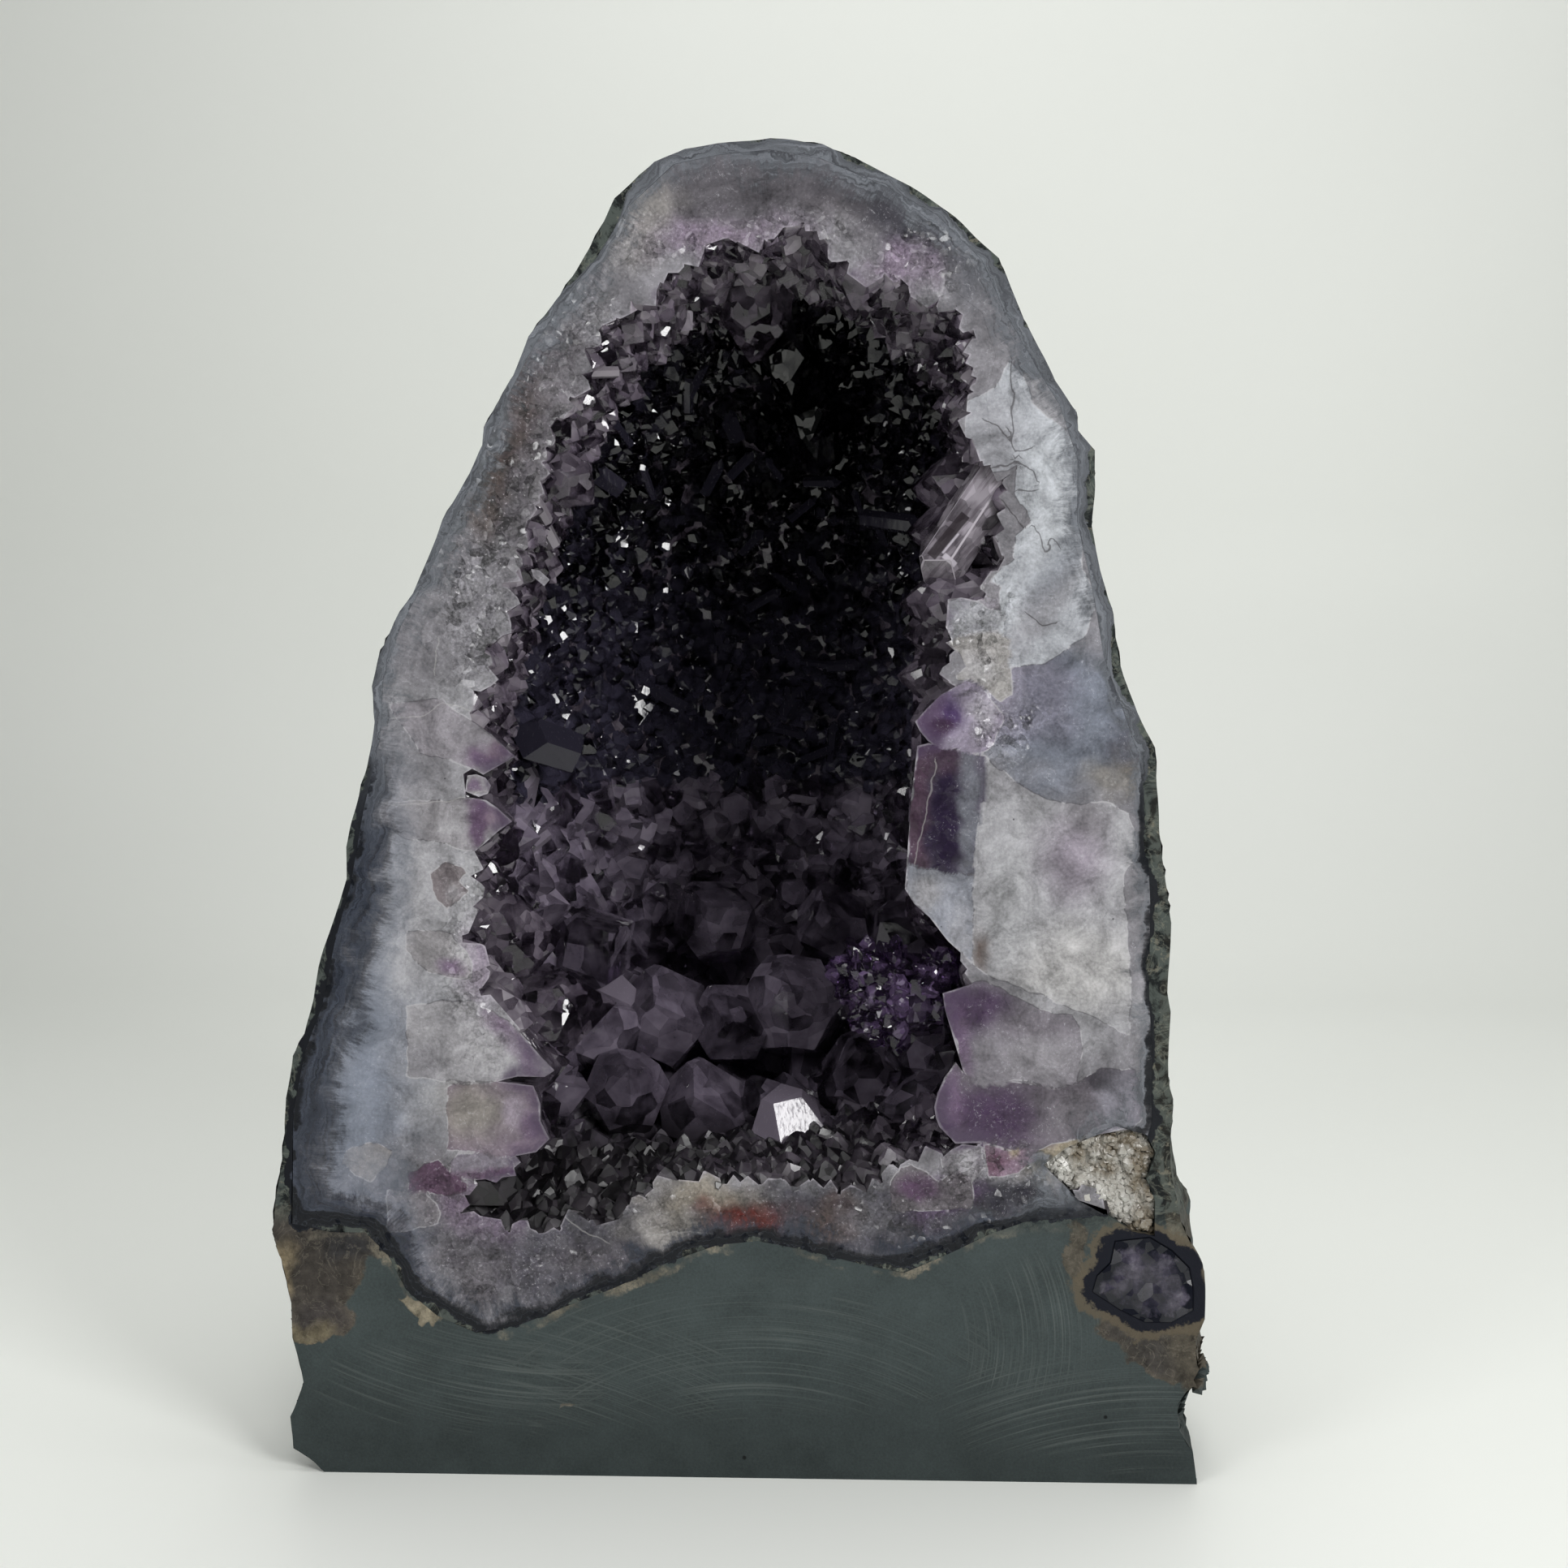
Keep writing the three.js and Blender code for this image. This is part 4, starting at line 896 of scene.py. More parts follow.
# Weathered places on the sawn rock.
ROCK_STAINS = (
    Patch((-98, 50), (13, 13), srgb(58, 54, 50), 1.0, 0.3), Patch((-86, 54), (9, 4), srgb(48, 47, 48), 1.0, 0.4),
    Patch((-96, 35), (8, 5), srgb(60, 56, 55), 0.9, 0.4),
    Patch((-106, 45), (3.4, 8), srgb(126, 114, 92), 1.0, 0.4, -20),
    Patch((-99, 32), (7, 2.4), srgb(104, 96, 78), 0.9, 0.4),
    Patch((-72, 38), (6, 1.8), srgb(138, 130, 112), 1.0, 0.4, -24),
    Patch((94, 32), (15, 6), srgb(60, 57, 54), 1.0, 0.35, -32), Patch((102, 34), (6, 14), srgb(74, 69, 60), 0.9, 0.4),
    Patch((76, 53), (3, 10), srgb(78, 74, 66), 0.8, 0.4), Patch((100, 58), (5, 14), srgb(70, 67, 61), 0.9, 0.4),
    Patch((97, 96), (4, 46), srgb(104, 99, 86), 0.9, 0.4), Patch((95, 150), (4, 22), srgb(96, 92, 82), 0.8, 0.4),
    Patch((-38, 16), (2, 1), srgb(96, 94, 86), 0.9, 0.8),
)


@dataclass(frozen=True)
class WeatheredSkin:
    """The natural outside of the rock: pitted, with brown, beige and grey-green weathering."""

    def build(self) -> bpy.types.Material:
        """Make the material."""
        s = Shader("weathered_skin")
        across = s.add("ShaderNodeSeparateXYZ", {0: s.place}).outputs[0]
        broad = s.noise(46, detail=8, rough=0.6)
        broad = s.sum(broad, (s.between(across, 60 * MM, 104 * MM), 0.08))
        colour = s.ramp(broad, [
            (0.34, srgb(50, 55, 54)), (0.46, srgb(74, 78, 75)), (0.55, srgb(104, 98, 85)),
            (0.66, srgb(124, 115, 98)),
        ])
        lumps = s.noise(5, detail=9, rough=0.72)
        colour = s.shaded(colour, s.sum(1.0, (s.about(lumps, 3.2), 1.0)))
        crust = s.between(s.noise(9, detail=7, rough=0.7), 0.55, 0.66, 0, 0.6)
        colour = s.mix(crust, colour, srgb(134, 126, 108))
        green = s.between(s.noise(17, detail=5), 0.56, 0.7, 0, 0.55)
        colour = s.mix(green, colour, srgb(62, 74, 72))
        pits = s.between(s.cells(2.8), 0.10, 0.26, 0.8, 0.0)
        colour = s.mix(pits, colour, srgb(26, 27, 27))
        height = s.sum(lumps, (s.noise(1.5, detail=6, rough=0.7), 0.5), (pits, -0.6))
        s.surface({
            "Base Color": colour, "Roughness": 0.86, "Specular IOR Level": 0.25,
            "Normal": s.bump(height, 0.6, 1.0),
        })
        return s.material


@dataclass(frozen=True)
class BandedAgate:
    """The polished band: a dark line at the rock, fine grey bands, then fibrous milky quartz."""

    def build(self) -> bpy.types.Material:
        """Make the material."""
        s = Shader("banded_agate")
        milk, cloud, relief = sawn_quartz(s)
        near = contact(s)
        dull, left_low, bottom = banding(s, near)
        fibre_place = s.add("ShaderNodeCombineXYZ", {
            0: s.math("MULTIPLY", s.attribute("along"), 1.7), 1: s.math("MULTIPLY", near, 0.13),
        }).outputs[0]
        inputs = {"Vector": fibre_place, "Scale": 1.0, "Detail": 6.0, "Roughness": 0.72}
        fibres = s.add("ShaderNodeTexNoise", inputs | {"Distortion": 0.4}).outputs[0]
        right = s.between(s.split()[0], 70 * MM, 82 * MM)
        width = s.sum(4.5, (left_low, 5.5), (bottom, -1.0), (right, -1.5))
        depth = s.sum(near, (s.about(fibres, 11.0), s.between(near, 1.0, 6.0, 0.15, 1.0)),
                      (s.about(cloud, 14.0), s.between(near, 1.0, 5.0, 0.1, 1.0)))
        depth = s.math("DIVIDE", depth, width)
        colour = s.mix(s.between(depth, 0.4, 1.9), dull, milk)
        pale = s.math("MULTIPLY", s.between(depth, 0.9, 1.25), s.between(depth, 1.4, 2.6, 1.0, 0.0))
        colour = s.mix(s.math("MULTIPLY", pale, s.math("MULTIPLY", left_low, 0.28)), colour,
                       srgb(158, 166, 182))
        colour = s.mix(s.between(near, -0.15, 0.15, 1.0, 0.0), colour, strip_rock(s))
        rough = s.between(s.noise(16, detail=4), 0.38, 0.7, 0.16, 0.40)
        s.surface({
            "Base Color": colour, "Roughness": rough, "Specular IOR Level": 0.24,
            "Normal": s.bump(relief, 1.0, 1000.0),
        })
        return s.material


@dataclass(frozen=True)
class Amethyst:
    """Clear violet quartz with milky clouds.

    milk is the share of cloudy quartz, and spread is how much it differs between crystals. lift paints shade by height:
    it darkens the crystals at the top of the hollow, under its overhang, and makes those below lighter and cloudier.
    """

    name: str
    tint: tuple
    density: float
    root: tuple
    tip: tuple
    milk: float
    spread: float
    clearest: float = 0.96
    gloss: float = 0.5
    grooves: tuple = ()
    facet: float = 3.0
    lean: float = 0.3
    lift: float = 0.0
    mottle: float = 0.5

    def absorb(self, s: Shader) -> None:
        """Tint what passes through the quartz."""
        node = s.add("ShaderNodeVolumeAbsorption", {"Color": self.tint, "Density": self.density})
        s.tree.links.new(node.outputs[0], s.output.inputs["Volume"])

    def sawn(self) -> bpy.types.Material:
        """Make the material of the sawn faces, violet at the crystals' tips."""
        s = Shader(self.name + "_sawn")
        clear = s.attribute("clear")
        milk, cloud, relief = sawn_quartz(s)
        violet = s.math("MULTIPLY", clear, s.attribute("violet"))
        violet = s.between(s.sum(violet, (s.about(cloud, 2.4), clear)), 0.3, 1.2, 0.0, 0.75)
        colour = s.mix(violet, milk, srgb(96, 76, 108))
        # A pale rim along the free edge of the cut: partly the quartz's own light edge, partly a painted highlight
        # where the edge catches the light.
        rim = s.math("MULTIPLY", s.between(s.attribute("from_edge"), 0.1, 0.6, 0.55, 0.0), s.between(cloud, 0.4, 0.55))
        s.surface({
            "Base Color": s.mix(rim, colour, srgb(190, 184, 194)), "Roughness": 0.2, "IOR": 1.544,
            "Specular IOR Level": 0.3, "Transmission Weight": s.math("MULTIPLY", violet, 0.6),
            "Normal": s.bump(relief, 1.0, 1000.0),
        })
        self.absorb(s)
        return s.material

    def build(self) -> bpy.types.Material:
        """Make the material of the crystals' own faces."""
        s = Shader(self.name)
        clear = s.attribute("clear")
        tone = s.attribute("tone")
        rise = s.attribute("rise")
        other = s.math("FRACT", s.math("MULTIPLY", tone, 5.7))
        fog = s.noise(7, detail=3, rough=0.62)
        _, depth, up = s.split()
        share, tilted = s.facets(self.facet)
        front = s.between(depth, (FACE_Y + 3) * MM, (FACE_Y + 22) * MM, 0.18, 0.0)
        cloudy = s.sum(self.milk, (s.about(fog, 1.3), 1.0), (tone, self.spread), (front, 1.0))
        # Painted shade: with lift, the crystals below the top of the hollow turn cloudier.
        cloudy = s.sum(cloudy, (s.math("SUBTRACT", 1.0, clear), 0.9), (s.math("SUBTRACT", 0.6, rise), 0.3),
                       (s.about(share, self.mottle), 1.0),
                       (s.between(up, 170 * MM, 225 * MM, 1.0, 0.0), self.lift))
        cloudy = s.math("MINIMUM", s.math("MAXIMUM", cloudy, 0.0), 1.0)
        colour = s.mix(cloudy, self.tip, self.root)
        # Darker and rougher towards the bottom of the hollow.
        dark_low = s.between(up, 66 * MM, 80 * MM, 0.85, 0.0)
        colour = s.mix(dark_low, colour, srgb(34, 31, 34))
        light = s.sum(1.0, (s.about(other, 0.6), 1.0), (s.about(fog, 0.6), 1.0), (s.about(share, 0.5), 1.0))
        # Painted shade: with lift, darker towards the top of the hollow under its overhang, lighter below.
        light = s.sum(light, (s.between(up, 170 * MM, 235 * MM, 1.0, -0.25), 3.6 * self.lift))
        colour = s.shaded(colour, light)
        through = s.math("MULTIPLY", s.math("SUBTRACT", 1.0, cloudy), self.clearest)
        lift = (0.015 if self.grooves else 0.06) * MM
        height = s.math("MULTIPLY", s.noise(2.4, detail=1, rough=0.62), lift)
        height = s.sum(height, (tilted, self.lean))
        if self.grooves:
            across, up = (s.math("DIVIDE", v, MM) for v in s.split()[::2])
            side = s.math("SUBTRACT", s.math("MULTIPLY", across, self.grooves[1]),
                          s.math("MULTIPLY", up, self.grooves[0]))
            run = s.math("ADD", s.math("MULTIPLY", across, self.grooves[0]),
                         s.math("MULTIPLY", up, self.grooves[1]))
            place = s.add("ShaderNodeCombineXYZ", {0: s.math("MULTIPLY", side, 1.3),
                                                   1: s.math("MULTIPLY", run, 0.12)}).outputs[0]
            lines = s.add("ShaderNodeTexNoise", {"Vector": place, "Scale": 1.0, "Detail": 2.0}).outputs[0]
            height = s.sum(height, (s.math("MULTIPLY", lines, 0.03 * MM), 1.0))
            colour = s.mix(s.between(lines, 0.46, 0.58, 0.0, 0.45), colour, srgb(84, 74, 84))
            # Painted light on the clear prism: a dark strip of painted shade in a groove, and a pale line and bar of
            # painted highlight beside it.
            groove_shade = s.stripe(side, 100.9, 1.0, run, -193.5, 5.8)
            painted_highlight = s.math("MAXIMUM", s.stripe(side, 99.4, 0.1, run, -192.5, 2.6),
                            s.stripe(side, 97.2, 1.6, run, -189.6, 0.5))
            colour = s.mix(s.math("MULTIPLY", groove_shade, 0.9), colour, srgb(40, 34, 38))
            colour = s.mix(s.math("MULTIPLY", painted_highlight, 0.8), colour, srgb(196, 190, 200))
            shut = s.math("MAXIMUM", groove_shade, painted_highlight)
            through = s.math("MULTIPLY", through, s.sum(1.0, (shut, -0.9)))
        rough = s.sum(s.between(fog, 0.42, 0.75, 0.03, 0.26), (dark_low, 0.4))
        s.surface({
            "Base Color": colour, "Roughness": rough, "IOR": 1.544, "Specular IOR Level": self.gloss,
            "Transmission Weight": through, "Normal": s.bump(height, 1.0, 1000.0),
        })
        self.absorb(s)
        return s.material

    def glint(self) -> bpy.types.Material:
        """Make the material of the faces that mirror a lamp, and of the clear prism's narrow edge faces, where its pale
        colour is a painted highlight.
        """
        s = Shader(self.name + "_glint")
        scratch = s.noise(0.5, vector=s.mapped(scale=(1, 1, 0.12), turn=(0, 0.5, 0)), detail=3)
        s.surface({
            "Base Color": self.root, "Roughness": s.between(scratch, 0.4, 0.7, 0.03, 0.3),
            "Specular IOR Level": 0.5, "Normal": s.bump(scratch, 0.15, 0.03),
        })
        self.absorb(s)
        return s.material


@dataclass(frozen=True)
class SugaryQuartz:
    """A crust of tiny white to beige quartz grains."""

    def build(self) -> bpy.types.Material:
        """Make the material."""
        s = Shader("sugary_quartz")
        broad = s.noise(7, detail=6, rough=0.6)
        colour = s.ramp(broad, [
            (0.36, srgb(140, 129, 112)), (0.5, srgb(192, 188, 180)), (0.66, srgb(222, 220, 214)),
        ])
        glints = s.between(s.noise(0.8, detail=2), 0.6, 0.7)
        colour = s.mix(s.math("MULTIPLY", glints, 0.5), colour, srgb(232, 232, 230))
        s.surface({
            "Base Color": colour, "Roughness": 0.28, "IOR": 1.544, "Specular IOR Level": 0.6,
            "Transmission Weight": 0.25, "Normal": s.bump(s.noise(1.1, detail=4), 0.5, 0.4),
        })
        return s.material


@dataclass(frozen=True)
class SmokyQuartz:
    """Purple-grey quartz with a dark rim of agate, in the small side pocket."""

    def build(self) -> bpy.types.Material:
        """Make the material."""
        s = Shader("smoky_quartz")
        cloud = s.noise(6, detail=6, rough=0.66)
        share, tilted = s.facets(2.6)
        colour = s.ramp(cloud, [
            (0.36, srgb(26, 27, 36)), (0.48, srgb(48, 46, 57)), (0.58, srgb(78, 74, 86)),
            (0.70, srgb(118, 114, 124)),
        ])
        colour = s.shaded(colour, s.sum(1.0, (s.about(share, 0.7), 1.0)))
        inner = s.between(s.sum(s.attribute("from_rock"), (s.about(cloud, 9.0), 1.0)), 0.9, 2.2)
        colour = s.mix(inner, srgb(18, 20, 29), colour)
        s.surface({
            "Base Color": colour, "Roughness": 0.22, "Specular IOR Level": 0.35,
            "Normal": s.bump(tilted, 0.8, 1000.0),
        })
        return s.material


def finish_piece(piece: bpy.types.Object, materials: list, node: str) -> None:
    """Dress a piece, tie it to the stone and let it stand for its node."""
    piece.data.materials.clear()
    for material in materials:
        piece.data.materials.append(material)
    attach(piece, "root")
    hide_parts(node)
    LOG.info("%s: %d triangles", piece.name, sum(len(p.vertices) - 2 for p in piece.data.polygons))


def edge_line(piece: bpy.types.Object, wanted) -> np.ndarray:
    """Points every half millimetre along the outline of the sawn face.

    Args:
        piece: the mesh.
        wanted: gives the mask of the outline's edges from their middles and the centres and
            normals of the faces beside the sawn one.

    Returns:
        Rows of x, y and z in metres.
    """
    centres, normals = face_facts(piece)
    front = np.append(on_sawn_face(centres, normals), False)
    sides = edge_faces(piece)
    flags = front[sides]
    border = np.nonzero(flags[:, 0] != flags[:, 1])[0]
    other = np.where(flags[border, 0], sides[border, 1], sides[border, 0])
    ends, lengths = edge_facts(piece)
    places = vertices_of(piece)
    middles = places[ends[border]].mean(axis=1)
    keep = border[wanted(middles, centres[other], normals[other])]
    points = []
    for edge in keep:
        first, last = places[ends[edge]]
        count = max(1, int(lengths[edge] / (0.5 * MM)))
        shares = (np.arange(count) + 0.5)[:, None] / count
        points.append(first + (last - first) * shares)
    return np.concatenate(points)


def nearest(points: np.ndarray, line: np.ndarray) -> tuple[np.ndarray, np.ndarray]:
    """The distance from each point to the nearest point of a line, and that point's number."""
    tree = KDTree(len(line))
    for number, place in enumerate(line):
        tree.insert(place, number)
    tree.balance()
    found = [tree.find(point)[1:] for point in points]
    return np.array([f[1] for f in found]), np.array([f[0] for f in found])


def chained(line: np.ndarray, middle: tuple[float, float]) -> np.ndarray:
    """How far round the outline each of its points lies, in millimetres, by angle and length."""
    angle = np.arctan2(line[:, 2] - middle[1] * MM, line[:, 0] - middle[0] * MM)
    order = np.argsort(angle)
    steps = np.linalg.norm(np.diff(line[order], axis=0), axis=1)
    run = np.concatenate([[0], np.cumsum(np.minimum(steps, 2 * MM))]) / MM
    found = np.empty(len(line))
    found[order] = run
    return found


def mesh_tree(node: str) -> BVHTree:
    """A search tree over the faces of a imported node."""
    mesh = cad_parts[node].data
    return BVHTree.FromPolygons([v.co for v in mesh.vertices], [tuple(p.vertices) for p in mesh.polygons])


@dataclass
class ContactLine:
    """The line on the sawn face where the agate meets the rock."""

    middle: tuple[float, float] = (0.0, 165.0)

    def build(self) -> None:
        """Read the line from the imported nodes."""
        agate = copy_of_node("agate_band", "contact")
        self.rock = mesh_tree("basalt_rind")
        self.crust = mesh_tree("amethyst_crust")
        self.line = edge_line(agate, self.beside_rock)
        self.run = chained(self.line, self.middle)
        bpy.data.objects.remove(agate, do_unlink=True)

    def beside_rock(self, middles: np.ndarray, centres: np.ndarray, normals: np.ndarray) -> np.ndarray:
        """The mask of the outline's edges that lie against the rock."""
        return np.array([
            self.rock.find_nearest(m)[3] < self.crust.find_nearest(m)[3] for m in middles
        ])

    def store(self, piece: bpy.types.Object, name: str, inward: float) -> None:
        """Store each point's distance into the agate, and how far along the line it lies.

        Args:
            piece: the mesh.
            name: what the distance is stored as.
            inward: 1 for a piece on the agate's side of the line and -1 for the rock.
        """
        places = vertices_of(piece)
        away, which = nearest(places, self.line)
        reach = np.sum([patch.share(places[:, [0, 2]] / MM) for patch in ROCK_REACH], axis=0)
        set_attribute(piece, name, inward * away / MM - reach, "POINT")
        set_attribute(piece, "along", self.run[which], "POINT")


@dataclass
class BasaltRind:
    """The rock round the geode: rough outside, sawn flat in front and underneath."""

    contact: ContactLine
    longest: float = 2.8
    sawn_longest: float = 2.6
    rounds: int = 4
    behind: float = 0.015
    chips: tuple = ((19.0, 2.6), (8.0, 1.6))
    grit: float = 0.7
    thin_share: float = 0.55

    def build(self) -> bpy.types.Object:
        """Make the piece."""
        piece = copy_of_node("basalt_rind", "rind")
        refine(piece, self.outside, self.longest * MM, self.rounds)
        refine(piece, on_sawn_face, self.sawn_longest * MM, 7)
        self.roughen(piece)
        self.contact.store(piece, "into_agate", -1.0)
        self.ring(piece)
        self.stain(piece)
        centres, normals = face_facts(piece)
        skin = self.outside(centres, normals)
        piece.data.polygons.foreach_set("material_index", skin.astype(np.int32))
        finish_piece(piece, [SawnBasalt().build(), WeatheredSkin().build()], "basalt_rind")
        return piece

    def ring(self, piece: bpy.types.Object) -> None:
        """Store how far each point lies from the side pocket's quartz."""
        quartz = mesh_tree("pocket_quartz")
        away = np.array([quartz.find_nearest(place)[3] for place in vertices_of(piece)])
        set_attribute(piece, "from_pocket", away / MM, "POINT")

    def stain(self, piece: bpy.types.Object) -> None:
        """Store the weathered places of the sawn face."""
        points = warped(vertices_of(piece)[:, [0, 2]] / MM, 6.0, 2.5)
        set_attribute(piece, "stain", painted(points, srgb(84, 78, 68), ROCK_STAINS), "POINT")
        set_attribute(piece, "stained", most(points, ROCK_STAINS), "POINT")

    def outside(self, centres: np.ndarray, normals: np.ndarray) -> np.ndarray:
        """The mask of the faces on the rock's natural outside."""
        sawn = (normals[:, 1] < -0.98) & (centres[:, 1] < (FACE_Y + 1) * MM)
        base = (normals[:, 2] < -0.98) & (centres[:, 2] < MM)
        middle = np.stack([
            np.full(len(centres), 2 * MM), np.full(len(centres), -40 * MM),
            np.clip(centres[:, 2], 60 * MM, 230 * MM),
        ], axis=1)
        outward = ((centres - middle) * normals).sum(axis=1) > 0
        ring = np.hypot(centres[:, 0] - 92 * MM, centres[:, 2] - 47 * MM)
        pocket = (ring < 15 * MM) & (centres[:, 1] < (FACE_Y + 14) * MM) & (centres[:, 0] < 102.6 * MM)
        druse = (np.hypot(centres[:, 0] - 82 * MM, centres[:, 2] - 69 * MM) < 17 * MM) & (
            centres[:, 1] < (FACE_Y + 4.2) * MM
        ) & (centres[:, 0] < 94 * MM)
        return outward & ~sawn & ~base & ~pocket & ~druse

    def roughen(self, piece: bpy.types.Object) -> None:
        """Chip the outside, and keep the sawn edges in their planes."""
        centres, normals = face_facts(piece)
        skin = self.outside(centres, normals)
        places = vertices_of(piece)
        inner_faces = ~skin & (centres[:, 1] > (FACE_Y + 0.5) * MM) & (centres[:, 2] > MM)
        wall = BVHTree.FromPolygons(
            [tuple(p) for p in places],
            [tuple(p.vertices) for p, keep in zip(piece.data.polygons, inner_faces) if keep],
        )
        on_skin = np.zeros(len(places), bool)
        for polygon, keep in zip(piece.data.polygons, skin):
            if keep:
                on_skin[list(polygon.vertices)] = True
        group = piece.vertex_groups.new(name="chips")
        deepest = sum(depth for _, depth in self.chips) + self.grit
        for number in np.nonzero(on_skin)[0]:
            away = wall.find_nearest(places[number])[3] / MM
            on_skin[number] = away > 0.3
            low = 0.25 + places[number, 2] / (24 * MM)
            group.add([int(number)], min(1.0, low, away * self.thin_share / deepest), "REPLACE")
        for size, depth in self.chips:
            texture = bpy.data.textures.new(f"chips_{size:.0f}", "VORONOI")
            texture.noise_scale = size * MM
            texture.distance_metric = "DISTANCE_SQUARED"
            apply_modifier(
                piece, "DISPLACE", texture=texture, strength=depth * MM, mid_level=1.0,
                texture_coords="LOCAL", vertex_group="chips",
            )
        lumps = bpy.data.textures.new("grit", "CLOUDS")
        lumps.noise_scale = 2.2 * MM
        lumps.noise_depth = 3
        apply_modifier(
            piece, "DISPLACE", texture=lumps, strength=self.grit * MM, mid_level=0.75,
            texture_coords="LOCAL", vertex_group="chips",
        )
        moved = vertices_of(piece)
        front = np.abs(places[:, 1] - FACE_Y * MM) < FACE_TOLERANCE * MM
        below = np.abs(places[:, 2]) < FACE_TOLERANCE * MM
        moved[~front, 1] = np.maximum(moved[~front, 1], (FACE_Y + 0.1) * MM)
        moved[front, 1] = places[front, 1] + self.behind * MM
        self.follow(places, moved, on_skin, wall, front)
        moved[below, 2] = places[below, 2]
        low, high = (np.array(c) for c in CAD_BOX)
        set_vertices(piece, np.clip(moved, low, high))

    def follow(self, places, moved, on_skin, wall, front) -> None:
        """Let the sawn face follow its chipped outline, less and less towards the hollow."""
        border = np.nonzero(front & on_skin)[0]
        skin = np.nonzero(on_skin & ~front)[0]
        beside = KDTree(len(skin))
        for number, vertex in enumerate(skin):
            beside.insert(places[vertex], number)
        beside.balance()
        for vertex in border:
            near = skin[[n[1] for n in beside.find_n(places[vertex], 5)]]
            shift = (moved[near] - places[near]).mean(axis=0)
            flat = np.array((1, 0, places[vertex, 2] > 0.05 * MM))
            moved[vertex] = places[vertex] + shift * flat + (0, self.behind * MM, 0)
        tree = KDTree(len(border))
        for number, vertex in enumerate(border):
            tree.insert(places[vertex], number)
        tree.balance()
        for vertex in np.nonzero(front & ~on_skin)[0]:
            near = tree.find_n(places[vertex], 6)
            away = np.array([n[2] for n in near])
            shifts = moved[border[[n[1] for n in near]]] - places[border[[n[1] for n in near]]]
            shifts[:, 1] = 0
            weights = 1 / (away + 0.5 * MM) ** 2
            inner = wall.find_nearest(places[vertex])[3]
            share = inner / (inner + away[0] + 0.01 * MM)
            moved[vertex] += share * (weights @ shifts) / weights.sum()


@dataclass
class AgateBand:
    """The band of agate and milky quartz between the rock and the crystals."""

    contact: ContactLine
    longest: float = 1.3
    rounds: int = 7
    widest_gap: float = 0.6

    def build(self) -> bpy.types.Object:
        """Make the piece."""
        piece = copy_of_node("agate_band", "agate")
        self.close(piece)
        refine(piece, on_sawn_face, self.longest * MM, self.rounds)
        self.contact.store(piece, "into_agate", 1.0)
        paint_sawn_face(piece, FACE_Y * MM)
        finish_piece(piece, [BandedAgate().build()], "agate_band")
        return piece

    def close(self, piece: bpy.types.Object) -> None:
        """Bring the edge of the sawn face up to the rock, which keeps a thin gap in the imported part."""
        places = vertices_of(piece)
        for number in np.nonzero(np.abs(places[:, 1] - FACE_Y * MM) < FACE_TOLERANCE * MM)[0]:
            spot, _, _, away = self.contact.rock.find_nearest(places[number])
            if away < self.widest_gap * MM:
                places[number] += (np.array(spot) - places[number]) * (0.94, 0, 0.94)
        set_vertices(piece, places)


class Zone(Enum):
    """The parts of the lining, each a solid of its own."""

    FRONT = "crystals_front"
    UPPER = "crystals_upper"
    LOWER = "crystals_lower"
    CLEAR = "clear_prism"
    VIOLET = "violet_cluster"


@dataclass(frozen=True)
class Large:
    """One crystal whose place is listed.

    foot and tip are x, depth behind the face and z in mm. side is the way that one of its long
    faces looks, where that is given.
    """

    foot: tuple[float, float, float]
    tip: tuple[float, float, float]
    radius: float
    kind: int = 0
    twist: float = 0.0
    tone: float = 0.0
    zone: Zone | None = None
    side: tuple = ()


@dataclass(frozen=True)
class Mirror:
    """A crystal with one face turned to mirror a lamp.

    seen is where it is seen on the sawn plane, across and up in mm. roll turns its tip round the
    mirroring face, in degrees.
    """

    seen: tuple[float, float]
    radius: float
    lift: float
    roll: float
    lamp: str


